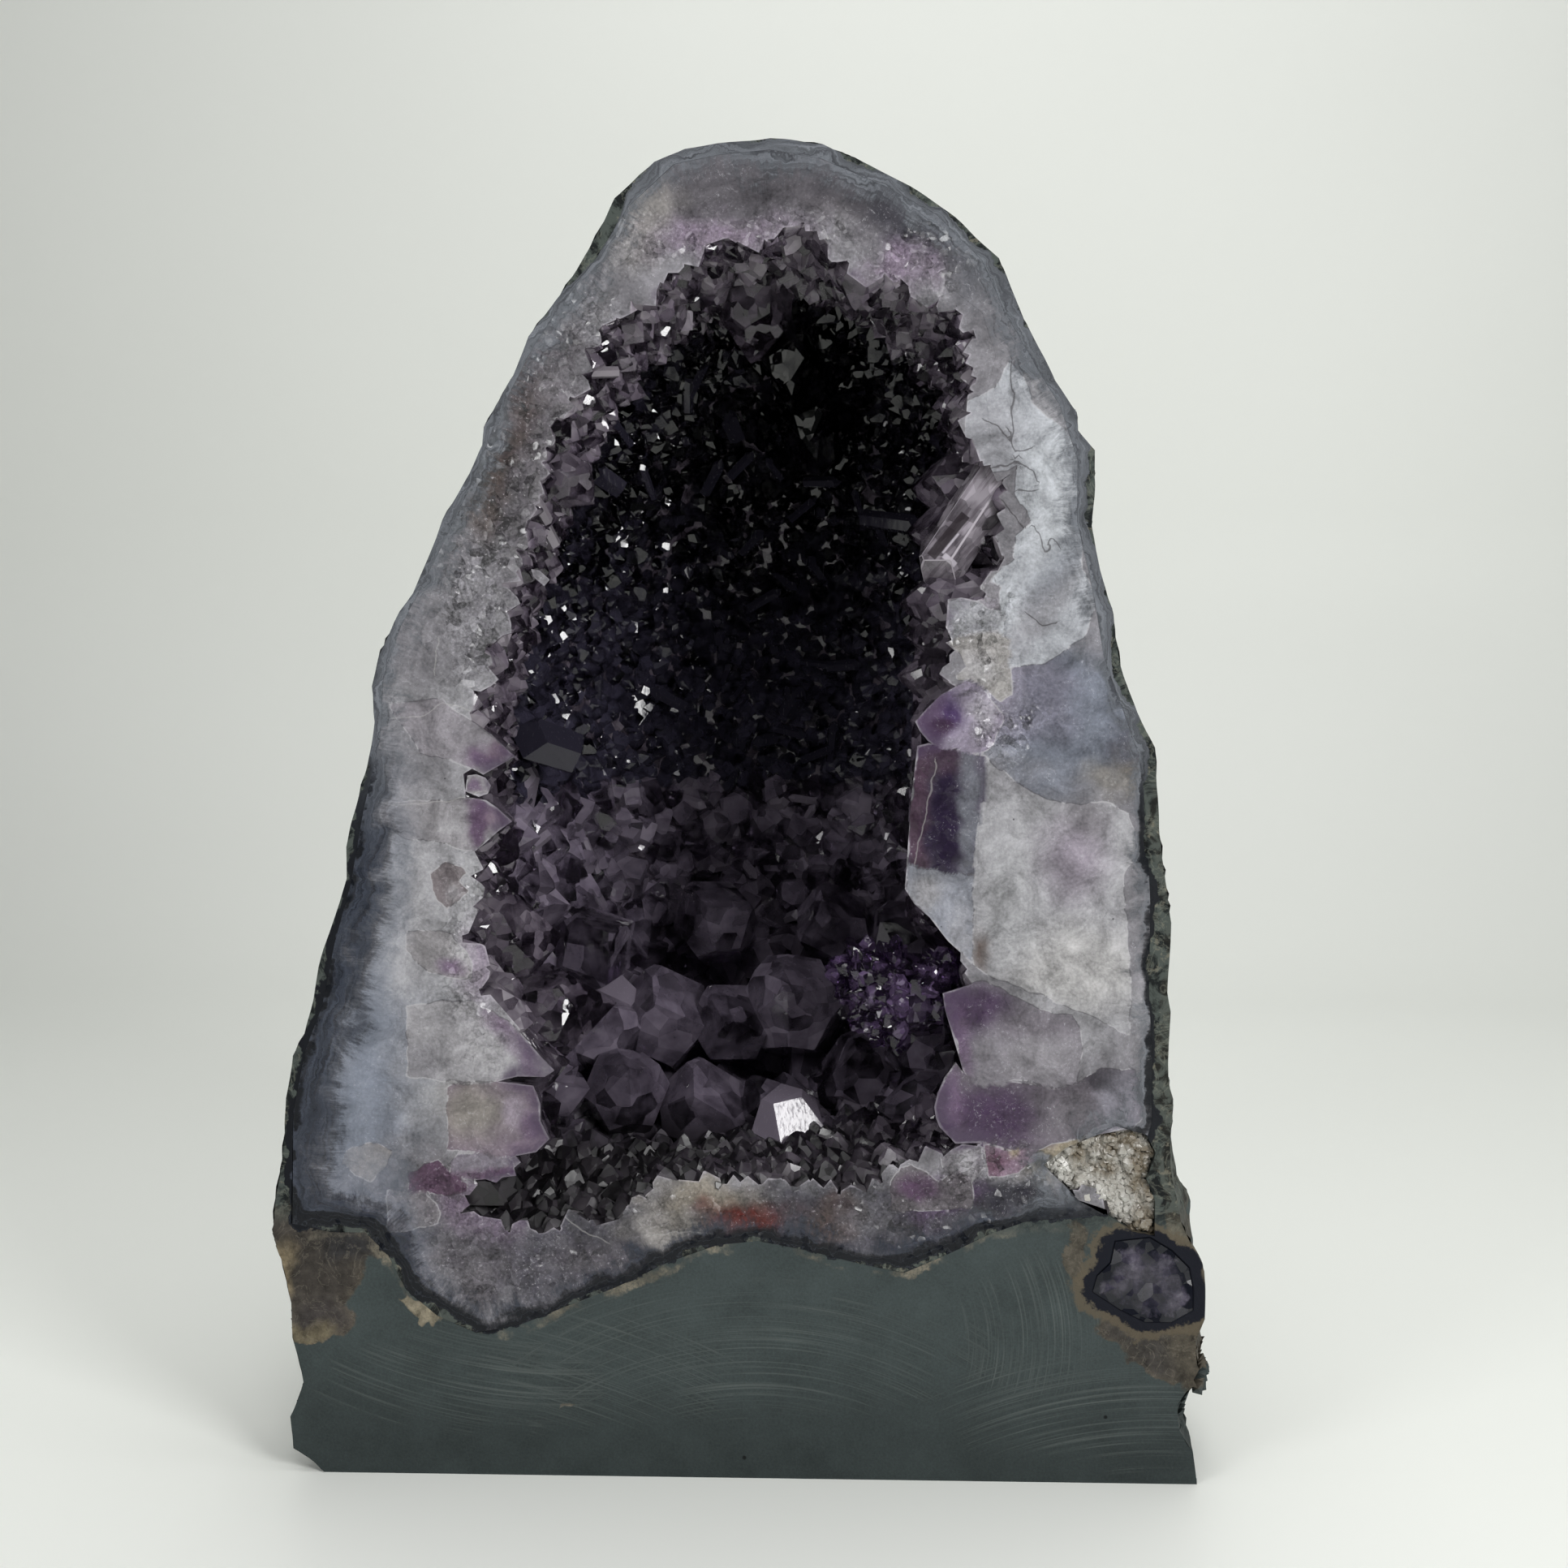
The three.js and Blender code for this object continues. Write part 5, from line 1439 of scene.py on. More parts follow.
@dataclass
class QuartzPoints:
    """Six-sided quartz points with uneven tips, each with its shoulder at Z = 0 and radius 1."""

    count: int = 12
    slope: float = 51.8
    seed: int = 4
    vertices: list = field(default_factory=list)
    faces: list = field(default_factory=list)
    tips: list = field(default_factory=list)
    broad: list = field(default_factory=list)

    def build(self) -> None:
        """Model each point once."""
        draw = np.random.default_rng(self.seed)
        for number in range(self.count):
            self.model(number, draw)

    def model(self, number: int, draw: np.random.Generator) -> None:
        """Cut one point from a six-sided prism, face by face."""
        deselect_all()
        bpy.ops.mesh.primitive_cylinder_add(vertices=6, radius=1, depth=4, location=(0, 0, 0))
        piece = bpy.context.object
        bpy.ops.object.mode_set(mode="EDIT")
        slope = math.radians(self.slope)
        inner = math.cos(math.pi / 6)
        lifts = []
        for side in range(6):
            lift = draw.uniform(-0.16, 0.16) if side % 2 == 0 else draw.uniform(0.04, 0.46)
            lifts.append(lift)
            normal = self.face_normal(side)
            direction = Vector((normal[0], normal[1], 0)) / math.sin(slope)
            bpy.ops.mesh.select_all(action="SELECT")
            bpy.ops.mesh.bisect(
                plane_co=direction * (inner + lift), plane_no=normal, use_fill=True, clear_outer=True
            )
        bpy.ops.mesh.select_all(action="SELECT")
        bpy.ops.mesh.remove_doubles(threshold=0.02)
        bpy.ops.mesh.normals_make_consistent(inside=False)
        bpy.ops.mesh.quads_convert_to_tris()
        bpy.ops.object.mode_set(mode="OBJECT")
        places = vertices_of(piece)
        self.vertices.append(places)
        self.faces.append([tuple(p.vertices) for p in piece.data.polygons])
        self.tips.append(float(places[:, 2].max()))
        self.broad.append(int(np.argmin(lifts)))
        bpy.data.objects.remove(piece, do_unlink=True)

    def face_normal(self, side: int) -> Vector:
        """The outward direction of one face of the tip."""
        slope = math.radians(self.slope)
        turn = math.radians(30 + 60 * side)
        return Vector((
            math.cos(turn) * math.sin(slope), math.sin(turn) * math.sin(slope), math.cos(slope)
        ))

    def placed(self, crystal: Crystal) -> tuple[np.ndarray, np.ndarray]:
        """The vertices of one copy in metres, foot at the root, and their share of the height."""
        shape = self.vertices[crystal.kind] * crystal.radius
        low = shape[:, 2] < -1.5 * crystal.radius
        shoulder = crystal.height - self.tips[crystal.kind] * crystal.radius
        shoulder = max(shoulder, 0.15 * crystal.radius)
        shape[low, 2] = -shoulder
        shape[low, :2] *= 0.92
        shape[:, 2] += shoulder
        rise = np.clip(shape[:, 2] / crystal.height, 0, 1)
        return shape @ crystal.frame.T + np.array(crystal.root), rise


def turned_frame(axis: Vector, turn: float) -> np.ndarray:
    """The axes of a crystal that points along axis and is turned round it."""
    swing = axis.to_track_quat("Z", "Y").to_matrix()
    return np.array(swing @ Matrix.Rotation(turn, 3, "Z"))


@dataclass
class Crystal:
    """One crystal of the lining: where it stands and how large it is, in metres."""

    kind: int
    root: Vector
    frame: np.ndarray
    radius: float
    height: float
    tone: float = 0.0
    zone: Zone | None = None

    def spine(self) -> np.ndarray:
        """A few points along the crystal's middle."""
        shares = np.array([[0.1], [0.35], [0.6], [0.85]])
        return np.array(self.root) + self.frame[:, 2] * self.height * shares


LARGE_POINTS = (
    Large((-75, 16, 91), (-40, 14, 93), 16, 1, 0.3),
    Large((-66, 10, 76), (-43, 10, 77), 9, 2, 1.1),
    Large((-68, 5, 66), (-50, 7, 66), 6, 3, 0.2),
    Large((-62, 8, 68), (-52, 12, 62), 5, 4, 0.7),
    Large((-70, 10, 163), (-50.5, 9, 164), 9.5, 5, 0.5),
    Large((-66, 9, 148), (-51, 9, 149), 8.5, 6, 0.1),
    Large((-66, 14, 156), (-52, 16, 157), 6, 3, 0.6),
    Large((-62, 18, 118), (-43, 22, 121), 9, 7, 0.4),
    Large((-58, 26, 100), (-31, 31, 103), 12, 8, 0.9),
    Large((-62, 16, 126), (-46, 18, 124), 7, 9, 0.2),
    Large((-60, 9, 110), (-49, 9, 108), 6, 10, 0.3),
    Large((-47, 12, 231), (-33, 13, 221), 6.5, 2, 0.4),
    Large((76, 10, 174), (38, 9, 172.5), 9.5, 2, 0.2),
    Large((54, 21, 190), (53, 19, 112), 16, 3, 0, -0.4, None, (-0.42, -0.9, 0)),
    Large((78, 15, 104), (46, 14, 105), 12.5, 4, 0.5),
    Large((78, 15, 82), (43.5, 14, 85), 12, 5, 0.1),
    Large((62, 7, 234), (41, 8, 202), 6.2, 6, 0, 0.0, Zone.CLEAR, (0.25, -1, -0.1)),
    Large((62, 14, 226), (38, 14, 224), 7, 7, 0.8),
    Large((62, 12, 214), (37, 14, 214), 8, 8, 0.4),
    Large((62, 9, 200), (35.5, 9, 198), 7, 9, 0.9),
    Large((60, 12, 190), (36, 15, 191), 7.5, 10, 0.2),
    Large((60, 14, 182), (35, 13, 182), 6, 1, 0.5),
    Large((62, 9, 240), (46, 9, 236), 6, 11, 0.6),
    Large((30, 6, 286), (26, 4, 262), 6.5, 0, 0.3),
    Large((22, 5, 286), (19, 4, 271), 5, 3, 0.7),
    Large((38, 5, 284), (37, 6, 268), 5.5, 5, 0.2),
    Large((3, 30, 284), (1, 32, 254), 9, 1, 0.3),
    Large((-6, 32, 280), (-5, 33, 262), 6, 2, 0.8),
    Large((9, 46, 276), (8, 42, 250), 7, 4, 0.5),
    Large((12, 60, 268), (11, 52, 244), 7, 6, 0.1),
    Large((14, 72, 260), (13, 60, 238), 7, 8, 0.9),
    Large((14, 84, 252), (16, 68, 231), 9, 9, 0.4),
    Large((20, 82, 250), (21, 68, 234), 6, 10, 0.2),
    Large((-22, 90, 84), (-24, 54, 99), 13, 7, 0.2, 0.3),
    Large((-4, 92, 84), (-6, 52, 96), 11, 3, 0.6, 0.1),
    Large((12, 90, 88), (8, 50, 103), 13.5, 8, 0.5, 0.5),
    Large((30, 70, 72), (25, 46, 90), 11, 9, 0.3, 0.2),
    Large((48, 60, 84), (36, 42, 98), 10, 10, 0.8, -0.2),
    Large((-42, 70, 82), (-38, 46, 102), 12, 11, 0.4, 0.4),
    Large((-34, 60, 70), (-28, 36, 86), 11, 0, 0.6, 0.2),
    Large((-12, 66, 66), (-12, 38, 80), 12, 2, 0.1, 0.4),
    Large((4, 66, 64), (3, 42, 78), 9, 6, 0.4, 0.0),
    Large((44, 70, 110), (32, 52, 120), 10, 4, 0.7),
    Large((-44, 60, 110), (-32, 44, 118), 11, 5, 0.9),
    Large((22, 84, 112), (18, 62, 122), 10, 3, 0.2),
    Large((-10, 90, 112), (-12, 66, 122), 11, 6, 0.7),
)

# The crystals whose faces catch a lamp.
MIRRORS = (
    Mirror((-55, 123), 9, 8, 200, "key"), Mirror((-40, 98), 10, 9, 20, "left"),
    Mirror((-37, 104), 7, 9, 140, "left"), Mirror((19.5, 78), 9, 3, 100, "key"),
    Mirror((21, 113), 6, 6, 250, "key"), Mirror((-13, 107), 5, 5, 90, "key"),
    Mirror((-36, 140), 5, 4, 80, "key"), Mirror((-51, 169.5), 6, 6, 300, "left"),
    Mirror((-48.5, 164), 5, 7, 200, "left"), Mirror((-23, 171), 4.5, 4, 30, "key"),
    Mirror((-40, 172), 3.5, 3, 120, "key"), Mirror((1, 166), 4, 3, 70, "left"),
    Mirror((10, 158), 4, 3, 190, "left"), Mirror((-4, 152), 5, 3, 260, "key"),
    Mirror((-45, 193), 3.5, 4, 20, "key"), Mirror((-20, 218), 4, 3, 150, "key"),
    Mirror((-14, 215), 3, 3, 50, "left"), Mirror((-47, 231), 3, 3, 80, "left"),
    Mirror((12, 254), 3.5, 3, 220, "key"), Mirror((6, 259), 3, 3, 10, "key"),
    Mirror((30, 256), 3, 3, 110, "left"), Mirror((37, 246), 3, 3, 300, "key"),
    Mirror((-22, 239), 2.6, 2, 60, "key"), Mirror((-16, 238), 2.6, 2, 160, "key"),
    Mirror((-3, 241), 2.6, 2, 240, "left"), Mirror((22, 203), 3, 2, 330, "key"),
    Mirror((-8, 190), 3, 2, 70, "left"), Mirror((14, 180), 3, 2, 200, "key"),
    Mirror((-30, 206), 3, 3, 110, "left"), Mirror((28, 226), 3, 3, 30, "key"),
    Mirror((-33, 228), 2.8, 2, 280, "left"), Mirror((0, 212), 2.6, 2, 90, "key"),
    Mirror((-57, 141), 5, 7, 60, "left"), Mirror((-51, 134), 5, 7, 200, "left"),
    Mirror((36.5, 213.5), 3, 8, 40, "key"), Mirror((41, 215), 2.6, 10, 120, "key"),
)

# The crystals that show along the edge of the sawn face, as tip x, depth, tip z and radius.
RIM_POINTS = (
    (-52, 3, 108, 5), (-58, 2, 115, 4.5), (-61, 3, 122, 4), (-60, 2, 134, 4.5),
    (-61, 3, 141, 4), (-57, 4, 156, 4.5), (-56, 3, 172, 4.5), (-61, 2, 178, 4), (-57, 3, 187, 4.5),
    (-54, 2, 194, 4), (-55, 3, 200, 3.5), (-52, 2, 206, 4), (-48, 3, 213, 5), (-46, 2, 221, 4.5),
    (-44, 3, 229, 4), (-42, 2, 238, 4.5), (-38, 3, 246, 4), (-34, 3, 256, 5.5), (-29, 2, 261, 5),
    (-21, 3, 264, 5.5), (-18, 2, 270, 4), (-12, 3, 273, 4.5), (-6, 2, 278, 4), (2, 3, 277, 4.5),
    (10, 2, 280, 3.5), (16, 3, 281, 3), (33, 2, 270, 4), (43, 3, 267, 4.5), (50, 2, 262, 4),
    (54, 3, 254, 4.5), (52, 2, 245, 4), (50, 3, 237, 4.5), (51, 2, 228, 5), (60, 3, 224, 3.5),
    (59, 2, 212, 4), (57, 3, 201, 4), (48, 2, 198, 4.5), (46, 3, 191, 4.5), (45, 2, 181, 5),
    (45, 4, 76, 5), (52, 2, 72, 4.5), (38, 3, 73, 5),
    (31, 2, 69, 4), (23, 3, 66, 4.5), (15, 2, 68, 4.5), (6, 3, 69, 5), (-3, 2, 70, 5),
    (-11, 3, 70, 4.5), (-18, 2, 66, 4.5), (-25, 3, 59, 4), (-33, 2, 57, 3.5), (-42, 3, 57, 3.5),
    (-51, 2, 57, 4), (-57, 3, 58, 4),
)


AMETHYSTS = {
    Zone.FRONT: Amethyst(
        "amethyst_front", srgb(160, 138, 176), 60.0, srgb(126, 120, 127), srgb(136, 122, 143), 0.18, 0.45,
        gloss=0.42, facet=2.6, lean=0.5
    ),
    # The upper crystals have darker colours: partly their own deep violet, partly painted shade under the hollow's
    # overhang.
    Zone.UPPER: Amethyst(
        "amethyst_upper", srgb(130, 112, 150), 330.0, srgb(40, 38, 49), srgb(54, 51, 66), 0.06, 0.26, 0.99,
        gloss=0.11, facet=2.2, lean=0.3, lift=0.3, mottle=0.16
    ),
    Zone.LOWER: Amethyst(
        "amethyst_lower", srgb(158, 136, 176), 60.0, srgb(120, 112, 125), srgb(140, 128, 150), 0.30, 0.4,
        gloss=0.24, facet=6.0, lean=0.1
    ),
    Zone.CLEAR: Amethyst(
        "clear_quartz", srgb(200, 190, 208), 18.0, srgb(172, 165, 174), srgb(176, 166, 178), 0.30, 0.0,
        grooves=(-0.64, -0.77), facet=3.4, lean=0.02, mottle=0.3
    ),
    Zone.VIOLET: Amethyst(
        "violet_druse", srgb(140, 110, 166), 90.0, srgb(92, 78, 104), srgb(122, 98, 142), 0.0, 0.6,
        facet=2.0, lean=0.4
    ),
}


def frame_between(local: tuple, world: tuple) -> np.ndarray:
    """The turn that takes one pair of directions to another pair at the same angle."""
    frames = []
    for first, second in (local, world):
        across = (second - first * second.dot(first)).normalized()
        frames.append(np.array([first, across, first.cross(across)]).T)
    return frames[1] @ frames[0].T


def in_box(place: np.ndarray, box: tuple) -> bool:
    """Whether a place lies between a box's lowest and highest corners, in millimetres."""
    return bool(np.all(place > np.array(box[0]) * MM) and np.all(place < np.array(box[1]) * MM))


@dataclass
class AmethystLining:
    """The crystals that line the hollow, joined in one solid for each zone, the front one sawn flat."""

    points: QuartzPoints
    contact: ContactLine
    bed_inside: float = 3.0
    bed_outside: float = 1.2
    root_depth: float = 1.6
    cut_behind: float = 0.06
    cut_longest: float = 1.1
    packing: float = 0.52
    front_depth: float = -36.0
    upper_from: float = 150.0
    bare: tuple = ((40, -76, 118), (70, -50, 169))
    balls: tuple = ((37, -56, 108, 15, 95), (47, -61, 113, 9, 45), (29, -50, 112, 11, 40))
    sparkles: int = 90
    seed: int = 11
    tries: int = 60000

    def build(self) -> None:
        """Make the crystals of each zone."""
        self.read_wall()
        zones: dict = {zone: [] for zone in Zone}
        for crystal in self.field() + self.rim() + self.large() + self.mirrors() + self.cluster():
            zones[self.zone_of(crystal)].append(crystal)
        for zone, crystals in zones.items():
            groups = self.groups(crystals)
            if zone is Zone.FRONT:
                piece = self.bed()
            else:
                piece = self.joined(groups.pop(0), zone.value)
            for group in groups:
                join_solid(piece, self.joined(group, "group"), "UNION")
            if zone is Zone.FRONT:
                for slab in SLABS:
                    if slab.depth:
                        join_solid(piece, self.plate(slab), "UNION")
                join_solid(piece, self.saw(), "DIFFERENCE")
            if zone is Zone.CLEAR:
                apply_modifier(
                    piece, "BEVEL", width=0.25 * MM, segments=1, limit_method="ANGLE",
                    angle_limit=math.radians(20), use_clamp_overlap=False,
                )
            self.tidy(piece)
            sawn = self.mark(piece)
            quartz = AMETHYSTS[zone]
            materials = [quartz.build(), quartz.glint()] + ([quartz.sawn()] if zone is Zone.FRONT else [])
            finish_piece(piece, materials, "amethyst_crust")
            tones = np.empty(len(piece.data.polygons))
            piece.data.attributes["tone"].data.foreach_get("value", tones)
            # The clear prism's narrow bevel faces take the pale glint material: a painted highlight along its edges.
            if zone is Zone.CLEAR:
                tones = np.where(self.narrow(piece), 2.0, tones)
            index = np.where(sawn, 2, np.where(tones > 1.5, 1, 0))
            piece.data.polygons.foreach_set("material_index", index.astype(np.int32))

    def narrow(self, piece: bpy.types.Object) -> np.ndarray:
        """The mask of the triangles that are less than half a millimetre wide."""
        corners = vertices_of(piece)[np.array([tuple(p.vertices) for p in piece.data.polygons])]
        sides = np.linalg.norm(corners - np.roll(corners, 1, axis=1), axis=2)
        areas = np.empty(len(corners))
        piece.data.polygons.foreach_get("area", areas)
        return 2 * areas / sides.max(axis=1) < 0.5 * MM

    def plate(self, slab: Slab) -> bpy.types.Object:
        """A crystal that the saw cuts through: its outline, from before the face to its depth."""
        outline = np.array(slab.outline, float)
        middle = outline.mean(axis=0)
        count = len(outline)
        rings = []
        for y, size in ((FACE_Y - 4, 1.012), (FACE_Y + 1, 1.012), (FACE_Y + slab.depth, 0.86)):
            ring = middle + (outline - middle) * size
            rings.append(np.stack([ring[:, 0], np.full(count, y), ring[:, 1]], axis=1) * MM)
        sides = [
            (row * count + n, row * count + (n + 1) % count, (row + 1) * count + (n + 1) % count,
             (row + 1) * count + n) for row in (0, 1) for n in range(count)
        ]
        front = tuple(range(count))[::-1]
        piece = new_piece("plate", np.concatenate(rings), [front, tuple(range(2 * count, 3 * count))] + sides)
        make_active(piece)
        bpy.ops.object.mode_set(mode="EDIT")
        bpy.ops.mesh.select_all(action="SELECT")
        bpy.ops.mesh.quads_convert_to_tris(ngon_method="BEAUTY")
        bpy.ops.mesh.normals_make_consistent(inside=False)
        bpy.ops.object.mode_set(mode="OBJECT")
        set_attribute(piece, "tone", np.zeros(len(piece.data.polygons)), "FACE")
        set_attribute(piece, "rise", np.full(3 * count, 0.5), "POINT")
        return piece

    def zone_of(self, crystal: Crystal) -> Zone:
        """The zone that a crystal stands in, by its root."""
        if crystal.zone:
            return crystal.zone
        if crystal.root.y < self.front_depth * MM:
            return Zone.FRONT
        return Zone.UPPER if crystal.root.z > self.upper_from * MM else Zone.LOWER

    def read_wall(self) -> None:
        """Read the hollow's wall from the agate node."""
        agate = copy_of_node("agate_band", "wall")
        centres, normals = face_facts(agate)
        middle = np.stack([
            np.zeros(len(centres)), np.full(len(centres), -30 * MM),
            np.clip(centres[:, 2], 110 * MM, 230 * MM),
        ], axis=1)
        inward = ((middle - centres) * normals).sum(axis=1) > 0
        self.wall_mask = inward & (centres[:, 1] > (FACE_Y + 0.1) * MM)
        places = vertices_of(agate)
        polygons = [tuple(p.vertices) for p, keep in zip(agate.data.polygons, self.wall_mask) if keep]
        self.tree = BVHTree.FromPolygons([tuple(p) for p in places], polygons)
        self.triangles = places[np.array(polygons)]
        self.agate = agate

    def bed(self) -> bpy.types.Object:
        """The lining under the crystals: the wall's own skin, given a thickness."""
        piece = self.agate
        piece.name = Zone.FRONT.value
        piece.data.name = Zone.FRONT.value
        select_faces(piece, ~self.wall_mask)
        bpy.ops.mesh.delete(type="FACE")
        bpy.ops.mesh.select_all(action="DESELECT")
        bpy.ops.object.mode_set(mode="OBJECT")
        faces = edge_faces(piece)
        select_edges(piece, faces[:, 1] < 0)
        bpy.ops.mesh.extrude_region_move(TRANSFORM_OT_translate={"value": (0, -5 * MM, 0)})
        bpy.ops.object.mode_set(mode="OBJECT")
        thickness = self.bed_inside + self.bed_outside
        apply_modifier(
            piece, "SOLIDIFY", thickness=thickness * MM,
            offset=(self.bed_inside - self.bed_outside) / thickness, use_rim=True,
        )
        set_attribute(piece, "tone", np.zeros(len(piece.data.polygons)), "FACE")
        set_attribute(piece, "rise", np.zeros(len(piece.data.vertices)), "POINT")
        return piece

    def saw(self) -> bpy.types.Object:
        """A block in front of the sawn face."""
        deselect_all()
        bpy.ops.mesh.primitive_cube_add(size=1, location=(0, (FACE_Y + self.cut_behind - 100) * MM, 0.15))
        block = bpy.context.object
        block.scale = (0.4, 0.2, 0.5)
        bpy.ops.object.transform_apply(location=True, rotation=True, scale=True)
        return block

    def size_at(self, place: np.ndarray, draw: np.random.Generator) -> tuple[float, float]:
        """A crystal's radius and its height above the wall at a place, in millimetres."""
        x, y, z = place / MM
        if z < 74 and y < -24:
            radius = draw.uniform(1.9, 4.0)
        elif z > 150 and y > -45:
            radius = draw.uniform(1.8, 3.4)
        elif z > 150:
            radius = draw.uniform(2.2, 4.0)
        elif z > 112:
            radius = draw.uniform(3.0, 6.4)
        else:
            radius = draw.uniform(5.0, 9.5)
        height = self.bed_inside + radius * draw.uniform(0.85, 1.5)
        return radius, height

    def field(self) -> list[Crystal]:
        """Crystals of many sizes all over the wall, packed until they touch."""
        draw = np.random.default_rng(self.seed)
        triangles = self.triangles
        cross = np.cross(triangles[:, 1] - triangles[:, 0], triangles[:, 2] - triangles[:, 0])
        areas = np.linalg.norm(cross, axis=1)
        normals = cross / areas[:, None]
        which = draw.choice(len(triangles), self.tries, p=areas / areas.sum())
        u, v = draw.random((2, self.tries))
        fold = u + v > 1
        u, v = np.where(fold, 1 - u, u), np.where(fold, 1 - v, v)
        corners = triangles[which]
        spots = corners[:, 0] + (corners[:, 1] - corners[:, 0]) * u[:, None]
        spots += (corners[:, 2] - corners[:, 0]) * v[:, None]
        facing = self.smooth_normals(triangles.mean(axis=1), normals, areas, spots)
        cell = 8 * MM
        taken: dict = {}
        crystals = []
        for spot, axis in zip(spots, facing):
            radius, height = self.size_at(spot, draw)
            if in_box(spot, self.bare):
                continue
            key = tuple((spot // cell).astype(int))
            near = [
                other
                for dx in (-1, 0, 1) for dy in (-1, 0, 1) for dz in (-1, 0, 1)
                for other in taken.get((key[0] + dx, key[1] + dy, key[2] + dz), ())
            ]
            if any(np.linalg.norm(spot - s) < self.packing * (radius + r) * MM for s, r in near):
                continue
            taken.setdefault(key, []).append((spot, radius))
            tilt = Vector(draw.normal(0, 0.27, 3))
            direction = (Vector(axis) + tilt).normalized()
            root = Vector(spot) - direction * self.root_depth * MM
            crystals.append(Crystal(
                int(draw.integers(self.points.count)), root,
                turned_frame(direction, draw.uniform(0, math.tau)), radius * MM,
                (height + self.root_depth) * MM, float(draw.uniform(-1, 1)),
            ))
        return crystals

    def smooth_normals(self, centres, normals, areas, spots) -> np.ndarray:
        """The wall's direction at each spot, averaged over its neighbourhood."""
        found = np.empty_like(spots)
        for start in range(0, len(spots), 2000):
            part = spots[start:start + 2000]
            away = np.linalg.norm(part[:, None] - centres[None], axis=2)
            weights = areas[None] * np.exp(-((away / (14 * MM)) ** 2))
            summed = weights @ normals
            found[start:start + 2000] = summed / np.linalg.norm(summed, axis=1)[:, None]
        return found

    def rim(self) -> list[Crystal]:
        """Crystals along the edge of the sawn face, each from the wall to its tip."""
        draw = np.random.default_rng(self.seed + 1)
        crystals = []
        for x, depth, z, radius in RIM_POINTS:
            tip = Vector((x, FACE_Y + depth, z)) * MM
            foot, normal, _, away = self.tree.find_nearest(tip + Vector((0, 3 * MM, 0)))
            direction = (tip - foot).normalized() if away > 2 * MM else normal
            direction = (direction + normal * 0.4).normalized()
            direction.y *= 0.4
            direction.normalize()
            length = max((tip - foot).length, 2.5 * MM) + 2.5 * MM
            crystals.append(Crystal(
                int(draw.integers(self.points.count)), tip - direction * length,
                turned_frame(direction, draw.uniform(0, math.tau)), radius * MM, length,
                float(draw.uniform(-1, 1)),
            ))
        return crystals

    def large(self) -> list[Crystal]:
        """The crystals whose places are listed."""
        crystals = []
        for item in LARGE_POINTS:
            foot = Vector((item.foot[0], FACE_Y + item.foot[1], item.foot[2])) * MM
            tip = Vector((item.tip[0], FACE_Y + item.tip[1], item.tip[2])) * MM
            frame = turned_frame((tip - foot).normalized(), item.twist)
            if item.side:
                frame = frame_between(
                    (Vector((0, 0, 1)), Vector((math.cos(math.pi / 6), math.sin(math.pi / 6), 0))),
                    ((tip - foot).normalized(), Vector(item.side)),
                )
            crystals.append(Crystal(
                item.kind, foot, frame, item.radius * MM, (tip - foot).length, item.tone, item.zone
            ))
        return crystals

    def mirrors(self) -> list[Crystal]:
        """The crystals that catch a lamp."""
        crystals = []
        eye = Vector(CAMERA_PLACE) * MM
        draw = np.random.default_rng(self.seed + 3)
        drawn = tuple(
            Mirror((draw.uniform(-52, 36), draw.uniform(120, 264)), draw.uniform(1.0, 2.0),
                   draw.uniform(3, 6), draw.uniform(0, 360), ("key", "key", "left")[number % 3])
            for number in range(self.sparkles)
        )
        for number, item in enumerate(MIRRORS + drawn):
            kind = number % self.points.count
            look = (Vector((item.seen[0], FACE_Y, item.seen[1])) * MM - eye).normalized()
            start = Vector((item.seen[0], FACE_Y + 2, item.seen[1])) * MM
            wall = self.tree.ray_cast(start, look)[0]
            if wall is None:
                LOG.warning("no wall behind %s", item.seen)
                continue
            tip = wall - look * (self.bed_inside + item.lift) * MM
            lamp = Vector(LAMPS[item.lamp].place) * MM
            half = ((eye - tip).normalized() + (lamp - tip).normalized()).normalized()
            side = half.orthogonal().normalized()
            side.rotate(Matrix.Rotation(math.radians(item.roll), 3, half))
            slope = math.radians(self.points.slope)
            axis = half * math.cos(slope) + side * math.sin(slope)
            frame = frame_between(
                (Vector((0, 0, 1)), self.points.face_normal(self.points.broad[kind])), (axis, half)
            )
            length = item.lift + self.bed_inside + self.root_depth + item.radius
            crystals.append(Crystal(
                kind, tip - axis * length * MM, frame, item.radius * MM, length * MM, 2.0
            ))
        return crystals

    def cluster(self) -> list[Crystal]:
        """Balls of small deep violet crystals at the right of the hollow."""
        draw = np.random.default_rng(self.seed + 2)
        crystals = []
        for x, y, z, size, count in self.balls:
            middle = Vector((x, y, z)) * MM
            for _ in range(count):
                direction = Vector(draw.normal(0, 1, 3))
                direction.x = -abs(direction.x) * 1.2 + 0.25 * direction.x
                direction.y = -abs(direction.y)
                direction.normalize()
                length = draw.uniform(0.82, 1.0) * size
                crystals.append(Crystal(
                    int(draw.integers(self.points.count)), middle + direction * (length * 0.45) * MM,
                    turned_frame(direction, draw.uniform(0, math.tau)), draw.uniform(1.3, 2.6) * MM,
                    length * 0.55 * MM, float(draw.uniform(-1, 1)), Zone.VIOLET,
                ))
            core = turned_frame(Vector((-1, 0, 0)), 0.0)
            crystals.append(Crystal(
                0, middle + Vector((9, 0, 0)) * MM, core, 0.66 * size * MM, 1.3 * size * MM, 0.0,
                Zone.VIOLET,
            ))
        return crystals

